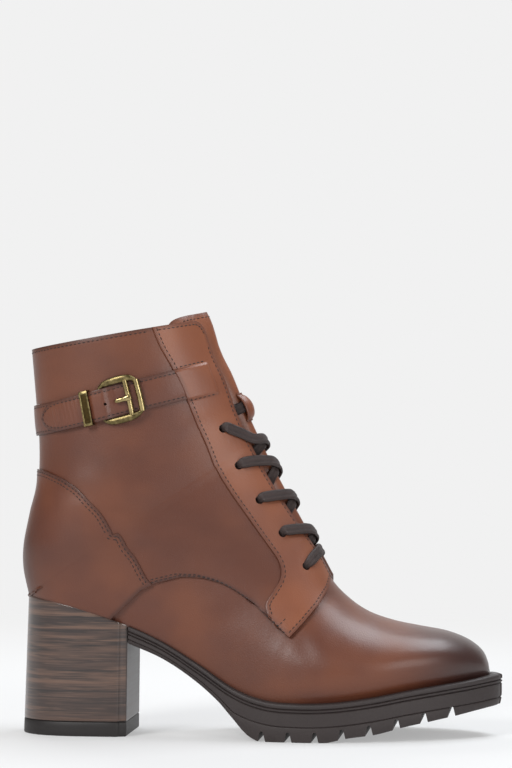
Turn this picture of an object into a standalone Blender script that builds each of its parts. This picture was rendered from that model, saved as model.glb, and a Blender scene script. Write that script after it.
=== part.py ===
# Lace up ankle boot with a block heel: right foot, standing empty on its sole.
# +X points to the toe, -Y is the outer side of the foot, +Z is up.
# The origin lies on the floor, under the middle of the heel.

import math

import bmesh
import bpy
import numpy as np

# Sizes of the last, in metres
FOOT_LENGTH = 0.2555
HEEL_BACK = 0.028
HEEL_SEAT_HEIGHT = 0.0752
BALL_HEIGHT = 0.0207
TOE_RISE = 0.0131
COLLAR_HEIGHT = 0.209
VAMP_HEIGHT = 0.062
SHAFT_WIDTH = 0.067
BALL_WIDTH = 0.086
HEEL_SEAT_WIDTH = 0.053
TOE_SWING = 0.003

# Leather and the gaps between pieces
PIECE_GAP = 0.0003
UPPER_WALL = 0.002
QUARTER_LEATHER = 0.001
OVERLAY_LEATHER = 0.0009
LAYER_GAP = 0.0006
INSOLE_GAP = 0.0008
WELD = 1e-6
# Near the sole the leather turns upright over this height
SEAT_TURN = 0.007

# Rows up the leg and down over the instep, each a flat section through the boot that
# holds a point of the back or the feather line and a point of the front ridge.
# along: shares of FOOT_LENGTH from the heel curve; up: shares of the shaft height above
# the heel seat, or of the drop from the heel seat to the ball where they are below zero;
# widths: shares of SHAFT_WIDTH; seat widths: shares of HEEL_SEAT_WIDTH.
# back along, back up, front along, front up, outer, inner, seat outer, seat inner,
# height share of the widest point, fullness below it, fullness above it
SHAFT_ROWS = (
    (0.013, 1.179, 0.386, 1.277, 0.507, 0.507, 0.000, 0.000, 0.50, 2.15, 1.85),
    (0.020, 1.001, 0.405, 1.126, 0.501, 0.501, 0.000, 0.000, 0.50, 2.15, 1.85),
    (0.029, 0.798, 0.428, 0.993, 0.493, 0.493, 0.000, 0.000, 0.49, 2.15, 1.85),
    (0.036, 0.619, 0.451, 0.904, 0.487, 0.487, 0.000, 0.000, 0.47, 2.15, 1.85),
    (0.034, 0.454, 0.468, 0.825, 0.481, 0.481, 0.000, 0.000, 0.44, 2.2, 1.85),
    (0.020, 0.335, 0.477, 0.777, 0.482, 0.482, 0.000, 0.000, 0.41, 2.2, 1.85),
    (0.007, 0.215, 0.488, 0.733, 0.487, 0.487, 0.000, 0.000, 0.38, 2.2, 1.85),
    (0.006, 0.111, 0.498, 0.691, 0.487, 0.487, 0.000, 0.000, 0.36, 2.2, 1.85),
    (0.018, 0.000, 0.509, 0.646, 0.478, 0.475, 0.000, 0.000, 0.34, 2.2, 1.85),
    (0.025, -0.004, 0.514, 0.628, 0.475, 0.472, 0.166, 0.166, 0.34, 2.2, 1.85),
    (0.045, -0.019, 0.519, 0.607, 0.472, 0.470, 0.308, 0.308, 0.33, 2.2, 1.85),
    (0.075, -0.045, 0.525, 0.583, 0.470, 0.467, 0.410, 0.410, 0.33, 2.2, 1.85),
    (0.129, -0.105, 0.537, 0.537, 0.472, 0.466, 0.476, 0.476, 0.32, 2.2, 1.85),
    (0.219, -0.237, 0.554, 0.474, 0.478, 0.463, 0.490, 0.474, 0.31, 2.2, 1.85),
    (0.305, -0.407, 0.578, 0.390, 0.493, 0.463, 0.513, 0.426, 0.31, 2.2, 1.85),
    (0.391, -0.637, 0.609, 0.284, 0.525, 0.478, 0.574, 0.411, 0.31, 2.2, 1.85),
    (0.470, -0.866, 0.640, 0.171, 0.579, 0.510, 0.660, 0.494, 0.31, 2.2, 1.85),
)

# Rows over the forefoot. along: shares of FOOT_LENGTH; base up: shares of TOE_RISE above
# the ball; rise: shares of VAMP_HEIGHT above the base; widths: shares of BALL_WIDTH.
# back along, base up, front along, rise, outer, inner, seat outer, seat inner,
# height share of the widest point, fullness below it, fullness above it
FOOT_ROWS = (
    (0.540, 0.099, 0.667, 1.000, 0.495, 0.433, 0.459, 0.386, 0.31, 2.2, 1.85),
    (0.611, 0.000, 0.703, 0.861, 0.526, 0.474, 0.485, 0.444, 0.31, 2.2, 1.87),
    (0.681, 0.046, 0.745, 0.735, 0.530, 0.500, 0.481, 0.465, 0.31, 2.2, 1.90),
    (0.755, 0.229, 0.797, 0.621, 0.502, 0.500, 0.448, 0.448, 0.32, 2.2, 1.95),
    (0.826, 0.481, 0.851, 0.521, 0.445, 0.463, 0.391, 0.407, 0.34, 2.2, 2.05),
    (0.892, 0.679, 0.906, 0.437, 0.366, 0.402, 0.314, 0.349, 0.36, 2.2, 2.15),
    (0.939, 0.809, 0.945, 0.353, 0.284, 0.333, 0.235, 0.286, 0.38, 2.2, 2.20),
    (0.969, 0.901, 0.970, 0.273, 0.205, 0.263, 0.163, 0.216, 0.39, 2.2, 2.20),
    (0.988, 0.962, 0.987, 0.192, 0.130, 0.191, 0.100, 0.149, 0.40, 2.2, 2.20),
    (0.998, 0.985, 0.996, 0.106, 0.065, 0.112, 0.049, 0.079, 0.40, 2.2, 2.20),
    (1.000, 0.992, 0.999, 0.050, 0.026, 0.042, 0.019, 0.030, 0.40, 2.2, 2.20),
    (1.001, 1.000, 1.001, 0.012, 0.008, 0.010, 0.006, 0.008, 0.40, 2.2, 2.20),
)

COLLAR_ROW = 1
CORNER_ROW = 8
BREAST_ROW = 13
LAST_ROW = len(SHAFT_ROWS) + len(FOOT_ROWS) - 1
TOUCH = 1e-6

OUTER = -1.0
INNER = 1.0


def smooth(x):
    x = np.clip(x, 0.0, 1.0)
    return x * x * (3.0 - 2.0 * x)


def last_table():
    """Every row in metres: base x, z, ridge x, z, widths, seat widths, belly, fullness."""
    shaft_rise = COLLAR_HEIGHT - HEEL_SEAT_HEIGHT
    drop = HEEL_SEAT_HEIGHT - BALL_HEIGHT
    table = []
    for row in SHAFT_ROWS:
        back, back_up, front, front_up = row[:4]
        table.append((
            back * FOOT_LENGTH - HEEL_BACK,
            HEEL_SEAT_HEIGHT + back_up * (shaft_rise if back_up > 0 else drop),
            front * FOOT_LENGTH - HEEL_BACK,
            HEEL_SEAT_HEIGHT + front_up * shaft_rise,
            row[4] * SHAFT_WIDTH,
            row[5] * SHAFT_WIDTH,
            row[6] * HEEL_SEAT_WIDTH,
            row[7] * HEEL_SEAT_WIDTH,
        ) + row[8:])
    for row in FOOT_ROWS:
        base = BALL_HEIGHT + row[1] * TOE_RISE
        table.append((
            row[0] * FOOT_LENGTH - HEEL_BACK,
            base,
            row[2] * FOOT_LENGTH - HEEL_BACK,
            base + row[3] * VAMP_HEIGHT,
            row[4] * BALL_WIDTH,
            row[5] * BALL_WIDTH,
            row[6] * BALL_WIDTH,
            row[7] * BALL_WIDTH,
        ) + row[8:])
    return np.array(table)


LAST = last_table()


def through(values, s):
    """A smooth curve through the rows of values, read at the positions s."""
    n = len(values)
    i = np.clip(np.floor(s).astype(int), 0, n - 2)
    f = (s - i)[:, None]
    v = np.vstack([2 * values[0] - values[1], values, 2 * values[-1] - values[-2]])
    p0, p1, p2, p3 = v[i], v[i + 1], v[i + 2], v[i + 3]
    bend = 2 * p0 - 5 * p1 + 4 * p2 - p3 + f * (3 * (p1 - p2) + p3 - p0)
    return p1 + 0.5 * f * (p2 - p0 + f * bend)


def rows_at(s):
    """The last's values at the positions s. The base line turns a corner at the heel."""
    rows = through(LAST, s)
    for columns in ((0, 1), (6, 7)):
        c = list(columns)
        above = through(LAST[:CORNER_ROW + 1, c], np.minimum(s, CORNER_ROW))
        below = through(LAST[CORNER_ROW:, c], np.maximum(s - CORNER_ROW, 0.0))
        rows[:, c] = np.where((s < CORNER_ROW)[:, None], above, below)
    return rows


def swing(x):
    """How far the middle of the forefoot moves to the inner side."""
    share = (x + HEEL_BACK) / FOOT_LENGTH
    return TOE_SWING * smooth((share - 0.6) / 0.4)


def half_sections(s, side):
    """Half sections at s: heights along the section and half widths, with arc shares."""
    r = rows_at(s)
    rise = np.hypot(r[:, 2] - r[:, 0], r[:, 3] - r[:, 1])[:, None]
    wide = np.where(side < 0, r[:, 4], r[:, 5])[:, None]
    seat = np.where(side < 0, r[:, 6], r[:, 7])[:, None]
    seat = np.clip(seat, 0.0, 0.97 * wide)
    belly = r[:, 8][:, None] * rise
    low, high = r[:, 9][:, None], r[:, 10][:, None]
    cut = (1.0 - (seat / wide) ** low) ** (1.0 / low)
    start = np.arcsin(np.clip(cut ** (low / 2.0), 0.0, 1.0))
    turn = start * (1.0 - np.linspace(0.0, 1.0, 21)[None, :])
    h_low = belly * (1.0 - np.sin(turn) ** (2.0 / low) / cut)
    y_low = wide * np.cos(turn) ** (2.0 / low)
    turn = 0.5 * math.pi * np.linspace(0.0, 1.0, 33)[None, 1:]
    h_high = belly + (rise - belly) * np.sin(turn) ** (2.0 / high)
    y_high = wide * np.maximum(np.cos(turn), 0.0) ** (2.0 / high)
    h = np.hstack([h_low, h_high])
    y = np.hstack([y_low, y_high])
    y[:, -1] = 0.0
    arc = np.hypot(np.diff(h, axis=1), np.diff(y, axis=1)).cumsum(axis=1)
    arc = np.hstack([np.zeros((len(s), 1)), arc])
    return r, rise[:, 0], h, y, arc


def on_last(s, t, side):
    """Points of the last: s is the row, t runs from the base line (0) to the ridge (1)."""
    s, t = np.broadcast_arrays(np.asarray(s, float), np.asarray(t, float))
    shape = s.shape
    s, t = s.ravel(), t.ravel()
    side = np.full(len(s), float(side))
    over = (t > 1.0) | ((t < 0.0) & (s <= CORNER_ROW + TOUCH))
    side = np.where(over, -side, side)
    t = np.where(t > 1.0, 2.0 - t, np.abs(t))
    r, rise, h, y, arc = half_sections(s, side)
    want = t * arc[:, -1]
    k = np.clip((arc < want[:, None]).sum(axis=1) - 1, 0, arc.shape[1] - 2)
    n = np.arange(len(s))
    f = (want - arc[n, k]) / (arc[n, k + 1] - arc[n, k])
    height = h[n, k] + f * (h[n, k + 1] - h[n, k])
    half = y[n, k] + f * (y[n, k + 1] - y[n, k])
    share = height / rise
    x = r[:, 0] + share * (r[:, 2] - r[:, 0])
    z = r[:, 1] + share * (r[:, 3] - r[:, 1])
    across = swing(x) + side * half
    return np.stack([x, across, z], axis=1).reshape(shape + (3,))


def section_arc(s, side):
    """Length of the half section at s, from the base line to the ridge."""
    s = np.atleast_1d(np.asarray(s, float))
    return half_sections(s, np.full(len(s), float(side)))[4][:, -1]


def outward(s, t, side):
    """Unit normals of the last."""
    s, t = np.broadcast_arrays(np.asarray(s, float), np.asarray(t, float))
    ds, dt = 0.03, 0.006
    past = s > CORNER_ROW + TOUCH
    low_s = np.where(past & (s < CORNER_ROW + ds), s, s - ds)
    low_t = np.where(past & (t < dt), t, t - dt)
    along = on_last(np.minimum(s + ds, LAST_ROW), t, side)
    along = along - on_last(np.maximum(low_s, 0.0), t, side)
    around = on_last(s, t + dt, side) - on_last(s, low_t, side)
    n = np.cross(around, along) * float(side)
    n /= np.linalg.norm(n, axis=-1, keepdims=True)
    reach = 0.5 * (section_arc(s.ravel(), OUTER) + section_arc(s.ravel(), INNER))
    reach = t * reach.reshape(s.shape)
    upright = (1.0 - smooth(reach / SEAT_TURN)) * smooth((s - CORNER_ROW + 0.6) / 0.6)
    n[..., 2] *= 1.0 - upright
    n /= np.linalg.norm(n, axis=-1, keepdims=True)
    return n


def skin(s, t, side, height):
    """Points that lie at a height above the last."""
    height = np.broadcast_to(np.asarray(height, float), np.broadcast(s, t).shape)
    return on_last(s, t, side) + outward(s, t, side) * height[..., None]


# The quarters' lower seam, where the vamp begins: position along the rows, share of the
# half section, and the column of the shaft's grid that runs down to it.
QUARTER_SEAM = (
    (12.85, 0.000, 0.00), (12.80, 0.194, 0.20), (12.93, 0.254, 0.26), (13.30, 0.330, 0.33),
    (13.75, 0.374, 0.375), (14.28, 0.407, 0.41), (14.70, 0.420, 0.44), (15.28, 0.426, 0.47),
    (15.95, 0.418, 0.50), (16.73, 0.390, 0.53), (16.90, 0.506, 0.60), (17.04, 0.646, 0.73),
    (17.02, 0.804, 0.87), (16.80, 0.930, 1.00),
)
# Columns run down from the collar, from the middle of the back (0) to the throat (1).
COLUMNS = (
    0.00, 0.05, 0.10, 0.15, 0.20, 0.26, 0.33, 0.41, 0.47, 0.53, 0.60, 0.69, 0.78, 0.87,
    0.935, 1.00,
)
# Seams across that grid: share of the way down, column. Heel counter, then facing.
COUNTER_SEAM = (
    (0.221, 0.000), (0.222, 0.050), (0.226, 0.096), (0.234, 0.140), (0.246, 0.180),
    (0.268, 0.235), (0.297, 0.287), (0.359, 0.375), (0.428, 0.438), (0.517, 0.458),
    (0.591, 0.442), (0.673, 0.416), (0.754, 0.388), (0.828, 0.360), (0.877, 0.338),
    (0.918, 0.310), (0.959, 0.276), (1.000, 0.243),
)
FACING_SEAM = (
    (0.000, 0.742), (0.030, 0.757), (0.075, 0.788), (0.148, 0.808), (0.221, 0.828),
    (0.295, 0.845), (0.369, 0.853), (0.443, 0.853), (0.517, 0.844), (0.591, 0.834),
    (0.673, 0.822), (0.754, 0.799), (0.828, 0.774), (0.858, 0.762), (0.878, 0.748),
    (0.893, 0.722), (0.904, 0.680), (0.911, 0.610), (0.922, 0.550), (0.950, 0.520),
    (0.972, 0.503), (1.000, 0.483),
)
# Rows of the vamp's grid, from the quarters' seam to the toe
VAMP_ROWS = (0.0, 0.07, 0.15, 0.235, 0.33, 0.43, 0.54, 0.65, 0.76, 0.86, 0.94, 1.0)

# The throat: position along the rows, shares of THROAT_HALF_GAP from the ridge
THROAT_HALF_GAP = 0.0115
THROAT_EDGE = (
    (0.0, 1.10), (1.0, 1.09), (5.0, 1.00), (10.0, 0.93), (14.5, 0.96), (15.4, 0.87),
    (16.4, 0.56), (17.0, 0.52), (18.0, 0.50),
)
COLLAR_CORNER = 0.007

# Eyelets and lace
EYELET_LINE = 0.023
EYELET_PITCH = 0.0219
EYELET_COUNT = 5
EYELET_WIDTH = 0.0042
EYELET_END = 15.85
LACE_WIDTH = 0.0062
LACE_THICKNESS = 0.0012
LACE_ROOM = 0.0018
TUCK_GAP = 0.0017
TUCK_SHIFT = 0.32
TOP_LACE_SHIFT = 0.1
TOP_LACE_SLACK = 0.0025

# The strap's middle line: column of the shaft's grid, position along the rows
STRAP_LINE = (
    (0.00, 2.48), (0.10, 2.49), (0.20, 2.54), (0.33, 2.60), (0.46, 2.65), (0.59, 2.69),
    (0.78, 2.81), (0.94, 2.91), (1.00, 2.95),
)
STRAP_WIDTH = 0.0165
STRAP_LEATHER = 0.0014
STRAP_BUCKLE = 0.537
STRAP_END = 0.945
# Columns where the strap climbs onto the facing
STRAP_CLIMB = (0.762, 0.777, 0.792, 0.812, 0.827)
STRAP_TIP = 0.0480
STRAP_TIP_LENGTH = 0.015
BUCKLE_LENGTH = 0.0240
BUCKLE_BAR = 0.0024
BUCKLE_INNER_BAR = 0.0054
KEEPER_PLACE = 0.0184
KEEPER_WIDTH = 0.0046
KEEPER_METAL = 0.0010
PRONG_WIDTH = 0.0030
PRONG_METAL = 0.0012

# Tongue and its lace loop, placed along the ridge
TONGUE_THICKNESS = 0.0026
TONGUE_RISE = 0.0045
TONGUE_HALF_WIDTH = 0.031
TONGUE_END = 17.6
LOOP_TOP = 4.15
LOOP_FOOT = 6.35
LOOP_WIDTH = 0.0100
LOOP_LEATHER = 0.0010

# Sole thickness: shares of FOOT_LENGTH from the heel curve, shares of BALL_HEIGHT
SOLE_THICKNESS = (
    (0.222, 0.46), (0.262, 0.47), (0.305, 0.45), (0.350, 0.455), (0.391, 0.50),
    (0.437, 0.60), (0.466, 0.78), (0.494, 1.00), (0.516, 1.08), (0.540, 1.10),
    (0.611, 1.04), (0.660, 1.02), (0.711, 0.945), (0.774, 0.955), (0.829, 0.91),
    (0.883, 0.885), (0.938, 0.85), (0.975, 0.82), (1.030, 0.80),
)
# How far the sole stands out past the upper: position along the rows, shares of SOLE_PROUD
SOLE_PROUD = 0.0055
SOLE_STEP_OUT = (
    (8.0, 0.05), (13.0, 0.06), (14.0, 0.10), (15.0, 0.28), (16.0, 0.58), (17.0, 0.84),
    (18.0, 0.94), (19.0, 1.0), (23.0, 1.03), (27.0, 1.10), (29.0, 1.12),
)
# The sole's side from its top edge down: depth in metres, its largest share of the
# thickness there, and how far the side stands in
SOLE_SIDE = (
    (0.0000, 0.00, 0.0008), (0.0009, 0.08, 0.0000), (0.0026, 0.26, 0.0000),
    (0.0031, 0.31, 0.0007), (0.0036, 0.36, 0.0001), (0.0043, 0.43, 0.0001),
    (0.0048, 0.48, 0.0009), (0.0053, 0.53, 0.0003), (0.0121, 0.72, 0.0006),
    (0.0126, 0.77, 0.0011), (0.0131, 0.82, 0.0007),
)
SOLE_FOOT_IN = 0.0014
# Positions along the rows between which the sole lies flat on the floor
FLAT_ROWS = (17.0, 17.9, 18.7)
LUG_HEIGHT = 0.0055
LUG_START = 0.5315
LUG_PITCH = 0.01435
LUG_TOE_MARGIN = 0.018
LUG_GAP = 0.0044
LUG_GAP_ROOF = 0.0016
LUG_OVERRUN = 0.01
LUG_DRAFT = 0.0004

# Heel and top piece
HEEL_FRONT = 0.0336
HEEL_BOTTOM_GROWTH = 0.030
HEEL_BOTTOM_SHIFT = 0.0020
HEEL_CORNER = 0.0025
HEEL_PROUD = 0.0015
LIFT_THICKNESS = 0.008
INSOLE_THICKNESS = 0.003

TAN = (0.172, 0.055, 0.028)
LIGHT_TAN = (0.235, 0.085, 0.045)
LACE_BROWN = (0.045, 0.030, 0.024)
RUBBER_BROWN = (0.030, 0.017, 0.012)
WOOD_BROWN = (0.095, 0.050, 0.032)
AGED_BRASS = (0.42, 0.30, 0.13)


def linear(table, x, columns=(0, 1)):
    """Values between the rows of a table."""
    table = np.array(table)
    return np.interp(x, table[:, columns[0]], table[:, columns[1]])


def ground(s):
    """Height of the vamp and lining over the last: sunk where the quarters cover it."""
    cover = 1.0 - smooth((np.asarray(s, float) - 13.0) / 5.0)
    return -(PIECE_GAP + QUARTER_LEATHER) * cover


QUARTER_TOP = PIECE_GAP + QUARTER_LEATHER
OVERLAY_FOOT = QUARTER_TOP + LAYER_GAP
OVERLAY_TOP = OVERLAY_FOOT + OVERLAY_LEATHER


def facing_top(s):
    """Height of the facing's outer face over the last."""
    return ground(s) + OVERLAY_TOP


def from_ridge(s, distance, side):
    """Share of the half section that lies at a distance from the ridge."""
    s = np.asarray(s, float)
    return 1.0 - distance / section_arc(s.ravel(), side).reshape(s.shape)


def throat(s, side):
    """Share of the half section at which the throat's edge lies."""
    return from_ridge(s, THROAT_HALF_GAP * linear(THROAT_EDGE, s), side)


def collar(t, side):
    """Row of the collar's edge, with its front corner rounded."""
    edge = float(throat(np.array([1.0]), side)[0])
    corner = COLLAR_CORNER / float(section_arc([1.0], side)[0])
    a = np.clip((np.asarray(t, float) - (edge - corner)) / corner, 0.0, 1.0)
    step = np.linalg.norm(LAST[COLLAR_ROW + 1, 2:4] - LAST[COLLAR_ROW, 2:4])
    return COLLAR_ROW + COLLAR_CORNER / step * (1.0 - np.sqrt(1.0 - 0.98 * a * a))


def material(name, colour, roughness, metallic=0.0):
    made = bpy.data.materials.new(name)
    made.use_nodes = True
    shader = made.node_tree.nodes["Principled BSDF"]
    shader.inputs["Base Color"].default_value = (*colour, 1.0)
    shader.inputs["Roughness"].default_value = roughness
    shader.inputs["Metallic"].default_value = metallic
    return made


def add(name, bm, colour, roughness, metallic=0.0):
    """An object from a bmesh, with its own material."""
    mesh = bpy.data.meshes.new(name)
    bm.to_mesh(mesh)
    bm.free()
    made = bpy.data.objects.new(name, mesh)
    bpy.context.collection.objects.link(made)
    mesh.materials.append(material(name, colour, roughness, metallic))
    mesh.shade_smooth()
    mesh.set_sharp_from_angle(angle=math.radians(35))
    return made


def shaft_place(down, column, side):
    """A place on the shaft's grid: share of the way down from the collar, column."""
    down, column = np.broadcast_arrays(np.asarray(down, float), np.asarray(column, float))
    edge = throat(np.array([1.0]), side)[0]
    top = collar(edge * column, side)
    foot_s = linear(QUARTER_SEAM, column, (2, 0))
    foot_t = linear(QUARTER_SEAM, column, (2, 1))
    s = top + down * (foot_s - top)
    blend = down ** 8
    return s, throat(s, side) * column * (1.0 - blend) + foot_t * blend


def shaft_rows():
    """Shares of the way down at which the grid has rows: one lies on the heel's corner."""
    corner = (CORNER_ROW - COLLAR_ROW) / (QUARTER_SEAM[0][0] - COLLAR_ROW)
    start = COUNTER_SEAM[0][0]
    rows = [0.0, 0.34 * start, 0.67 * start, start]
    rows += [start + (corner - start) * k for k in (0.2, 0.4, 0.6, 0.8, 1.0)]
    rows += [corner + (1.0 - corner) * k for k in (0.2, 0.4, 0.58, 0.70, 0.80, 0.90, 1.0)]
    return np.array(rows)


def vamp_place(down, column, side):
    """A place on the vamp's grid, which runs on from the quarters' seam to the toe."""
    down, column = np.broadcast_arrays(np.asarray(down, float), np.asarray(column, float))
    inside = np.minimum(column, 1.0)
    foot_s = linear(QUARTER_SEAM, inside, (2, 0))
    foot_t = linear(QUARTER_SEAM, inside, (2, 1))
    edge = QUARTER_SEAM[-1][1]
    blend = smooth(1.5 * down)
    t = foot_t * (1.0 - blend) + edge * inside * blend
    t = np.where(column > 1.0, edge + (1.0 - edge) * (column - 1.0), t)
    return foot_s + down * (LAST_ROW - foot_s), t


def shaft_sheet(side):
    """The shaft grid's nodes on the last, with their normals and the ground there."""
    s, t = shaft_place(shaft_rows()[:, None], np.array(COLUMNS)[None, :], side)
    sheet = [on_last(s, t, side), outward(s, t, side), ground(s)[..., None]]
    return np.concatenate(sheet, axis=-1)


def sheet_layer(down, column, side, low, high):
    """A layer over flat patches of the shaft's grid, at heights above the ground there."""
    down, column = np.broadcast_arrays(down, column)
    nodes = shaft_sheet(side)
    rows, columns = shaft_rows(), np.array(COLUMNS)
    i = np.clip(np.searchsorted(rows, down + TOUCH) - 1, 0, len(rows) - 2)
    j = np.clip(np.searchsorted(columns, column + TOUCH) - 1, 0, len(columns) - 2)
    u = ((down - rows[i]) / (rows[i + 1] - rows[i]))[..., None]
    v = ((column - columns[j]) / (columns[j + 1] - columns[j]))[..., None]
    here = (nodes[i, j] * (1 - u) * (1 - v) + nodes[i + 1, j] * u * (1 - v)
            + nodes[i, j + 1] * (1 - u) * v + nodes[i + 1, j + 1] * u * v)
    base, out, floor = here[..., 0:3], here[..., 3:6], here[..., 6:7]
    return base + out * (floor + low), base + out * (floor + high)


def leather(name, blocks, colour, roughness=0.45):
    """A closed sheet from grids of points on its inner and outer face."""
    both, faces = np.zeros((0, 6)), []
    for low, high in blocks:
        ids = np.empty(low.shape[:2], int)
        for i in range(low.shape[0]):
            for j in range(low.shape[1]):
                pair = np.concatenate([low[i, j], high[i, j]])
                same = np.nonzero(np.abs(both - pair).max(axis=1) < WELD)[0]
                if len(same) == 0:
                    both = np.vstack([both, pair])
                ids[i, j] = same[0] if len(same) else len(both) - 1
        turn = blocks_turn(low, high)
        for i in range(ids.shape[0] - 1):
            for j in range(ids.shape[1] - 1):
                a, b, c, d = ids[i, j], ids[i, j + 1], ids[i + 1, j + 1], ids[i + 1, j]
                straight = np.linalg.norm(both[a, :3] - both[c, :3])
                crossed = np.linalg.norm(both[b, :3] - both[d, :3])
                split = ((a, b, c), (a, c, d))
                if crossed < 0.6 * straight:
                    split = ((a, b, d), (b, c, d))
                for loop in split:
                    if len(set(loop)) == 3:
                        faces.append(loop if turn > 0 else loop[::-1])
    edges = {(a, face[(k + 1) % len(face)]) for face in faces for k, a in enumerate(face)}
    n = len(both)
    solid = [[a + n for a in face] for face in faces] + [face[::-1] for face in faces]
    solid += [[a + n, a, b, b + n] for b, a in edges if (a, b) not in edges]
    bm = bmesh.new()
    verts = [bm.verts.new(p) for p in np.vstack([both[:, :3], both[:, 3:]])]
    for face in solid:
        bm.faces.new([verts[a] for a in face])
    bmesh.ops.recalc_face_normals(bm, faces=bm.faces)
    if bm.calc_volume(signed=True) < 0:
        bmesh.ops.reverse_faces(bm, faces=bm.faces)
    return add(name, bm, colour, roughness)


def blocks_turn(low, high):
    """Tells which way round a grid's quads face out."""
    along = low[1:, :-1] - low[:-1, :-1]
    around = low[:-1, 1:] - low[:-1, :-1]
    out = high[:-1, :-1] - low[:-1, :-1]
    return float((np.cross(around, along) * out).sum())


def layer(s, t, side, low, high):
    """The inner and outer points of a layer of leather over places on the last."""
    s, t = np.broadcast_arrays(s, t)
    base, out = on_last(s, t, side), outward(s, t, side)
    low = np.broadcast_to(low, s.shape)[..., None]
    high = np.broadcast_to(high, s.shape)[..., None]
    return base + out * low, base + out * high


def stack(name, rings, colour, roughness=0.5):
    """A solid from closed rings of points, one above the other, capped by cross bars."""
    bm = bmesh.new()
    n = len(rings[0])
    verts = [[bm.verts.new(p) for p in ring] for ring in rings]
    for low, high in zip(verts, verts[1:]):
        for k in range(n):
            bm.faces.new((low[k], low[(k + 1) % n], high[(k + 1) % n], high[k]))
    for ring in (verts[0], verts[-1]):
        for k in range((n - 1) // 2):
            a, b, c, d = ring[k], ring[k + 1], ring[n - 2 - k], ring[n - 1 - k]
            bm.faces.new((a, b, d) if b is c else (a, b, c, d))
    bmesh.ops.recalc_face_normals(bm, faces=bm.faces)
    if bm.calc_volume(signed=True) < 0:
        bmesh.ops.reverse_faces(bm, faces=bm.faces)
    return add(name, bm, colour, roughness)


def sweep(bm, centres, ups, profile, closed=False):
    """Carries a profile (across, up) along a path; ups point away from the surface."""
    centres = np.array(centres)
    ups = np.array(ups)
    n = len(centres)
    if closed:
        ahead = np.roll(centres, -1, axis=0) - np.roll(centres, 1, axis=0)
    else:
        ahead = np.gradient(centres, axis=0)
    ahead /= np.linalg.norm(ahead, axis=1, keepdims=True)
    across = np.cross(ahead, ups)
    across /= np.linalg.norm(across, axis=1, keepdims=True)
    ups = np.cross(across, ahead)
    rings = []
    for k in range(n):
        shape = profile(k / (n - 1.0)) if callable(profile) else profile
        ring = [bm.verts.new(centres[k] + across[k] * u + ups[k] * v) for u, v in shape]
        rings.append(ring)
    m = len(rings[0])
    pairs = list(zip(rings, rings[1:]))
    if closed:
        pairs.append((rings[-1], rings[0]))
    for low, high in pairs:
        for k in range(m):
            bm.faces.new((low[k], low[(k + 1) % m], high[(k + 1) % m], high[k]))
    if not closed:
        bm.faces.new(rings[0])
        bm.faces.new(rings[-1])
    bmesh.ops.recalc_face_normals(bm, faces=bm.faces)


def box_profile(width, thickness):
    w, h = 0.5 * width, 0.5 * thickness
    return ((-w, -h), (w, -h), (w, h), (-w, h))


def round_profile(width, thickness, sides=8):
    turns = [2 * math.pi * (k + 0.5) / sides for k in range(sides)]
    return [(0.5 * width * math.cos(a), 0.5 * thickness * math.sin(a)) for a in turns]


def union(base, others):
    """Joins solids that cross each other."""
    for other in others:
        joint = base.modifiers.new("join", "BOOLEAN")
        joint.operation = "UNION"
        joint.solver = "EXACT"
        joint.object = other
        other.hide_render = True
        other.display_type = "WIRE"
    return base


def make_upper():
    """The vamp and lining: one wall, open at the collar, the throat and underneath."""
    shaft = shaft_rows()[:, None]
    columns = np.array(COLUMNS)[None, :]
    across = np.append(COLUMNS, [1.5, 2.0])[None, :]
    vamp = np.array(VAMP_ROWS)[:, None]
    ends = [on_last(np.full(3, LAST_ROW), [0.0, 0.5, 1.0], side) for side in (OUTER, INNER)]
    tip = np.mean(ends, axis=(0, 1))
    blocks = []
    for side in (OUTER, INNER):
        blocks.append(sheet_layer(shaft, columns, side, -UPPER_WALL, 0.0))
        s, t = vamp_place(vamp, across, side)
        low, high = layer(s, t, side, ground(s) - UPPER_WALL, ground(s))
        low[-1], high[-1] = tip - (UPPER_WALL, 0.0, 0.0), tip
        blocks.append((low, high))
    return leather("upper", blocks, TAN)


def make_quarters():
    """The outer shaft leather, in one piece round the heel, down to its seam."""
    blocks = []
    for side in (OUTER, INNER):
        rows = shaft_rows()[:, None]
        blocks.append(sheet_layer(rows, np.array(COLUMNS), side, PIECE_GAP, QUARTER_TOP))
    return leather("quarters", blocks, TAN)


def rows_with(seam, first, last):
    """The shaft's rows between two of them, with more where a seam bends."""
    rows = shaft_rows()
    more = [row for row, _ in seam if np.abs(rows - row).min() > 0.002]
    rows = np.sort(np.append(rows, more))
    return rows[(rows >= first - TOUCH) & (rows <= last + TOUCH)]


def make_counter():
    """The back panel over the quarters, down to the heel."""
    down = rows_with(COUNTER_SEAM, COUNTER_SEAM[0][0], 1.0)
    widest = max(column for _, column in COUNTER_SEAM)
    columns = np.array([c for c in COLUMNS if c < widest] + [widest])
    column = np.minimum(columns[None, :], linear(COUNTER_SEAM, down)[:, None])
    blocks = []
    for side in (OUTER, INNER):
        blocks.append(sheet_layer(down[:, None], column, side, OVERLAY_FOOT + 0.5 * PIECE_GAP, OVERLAY_TOP))
    return leather("heel_counter", blocks, TAN)


def eyelets(side):
    """Positions of the eyelets, counted up from the lowest."""
    s = np.linspace(EYELET_END, 1.0, 400)
    t = from_ridge(s, EYELET_LINE, side)
    path = on_last(s, t, side)
    length = np.concatenate([[0.0], np.linalg.norm(np.diff(path, axis=0), axis=1).cumsum()])
    places = np.interp(np.arange(EYELET_COUNT) * EYELET_PITCH, length, s)
    return places


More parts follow.
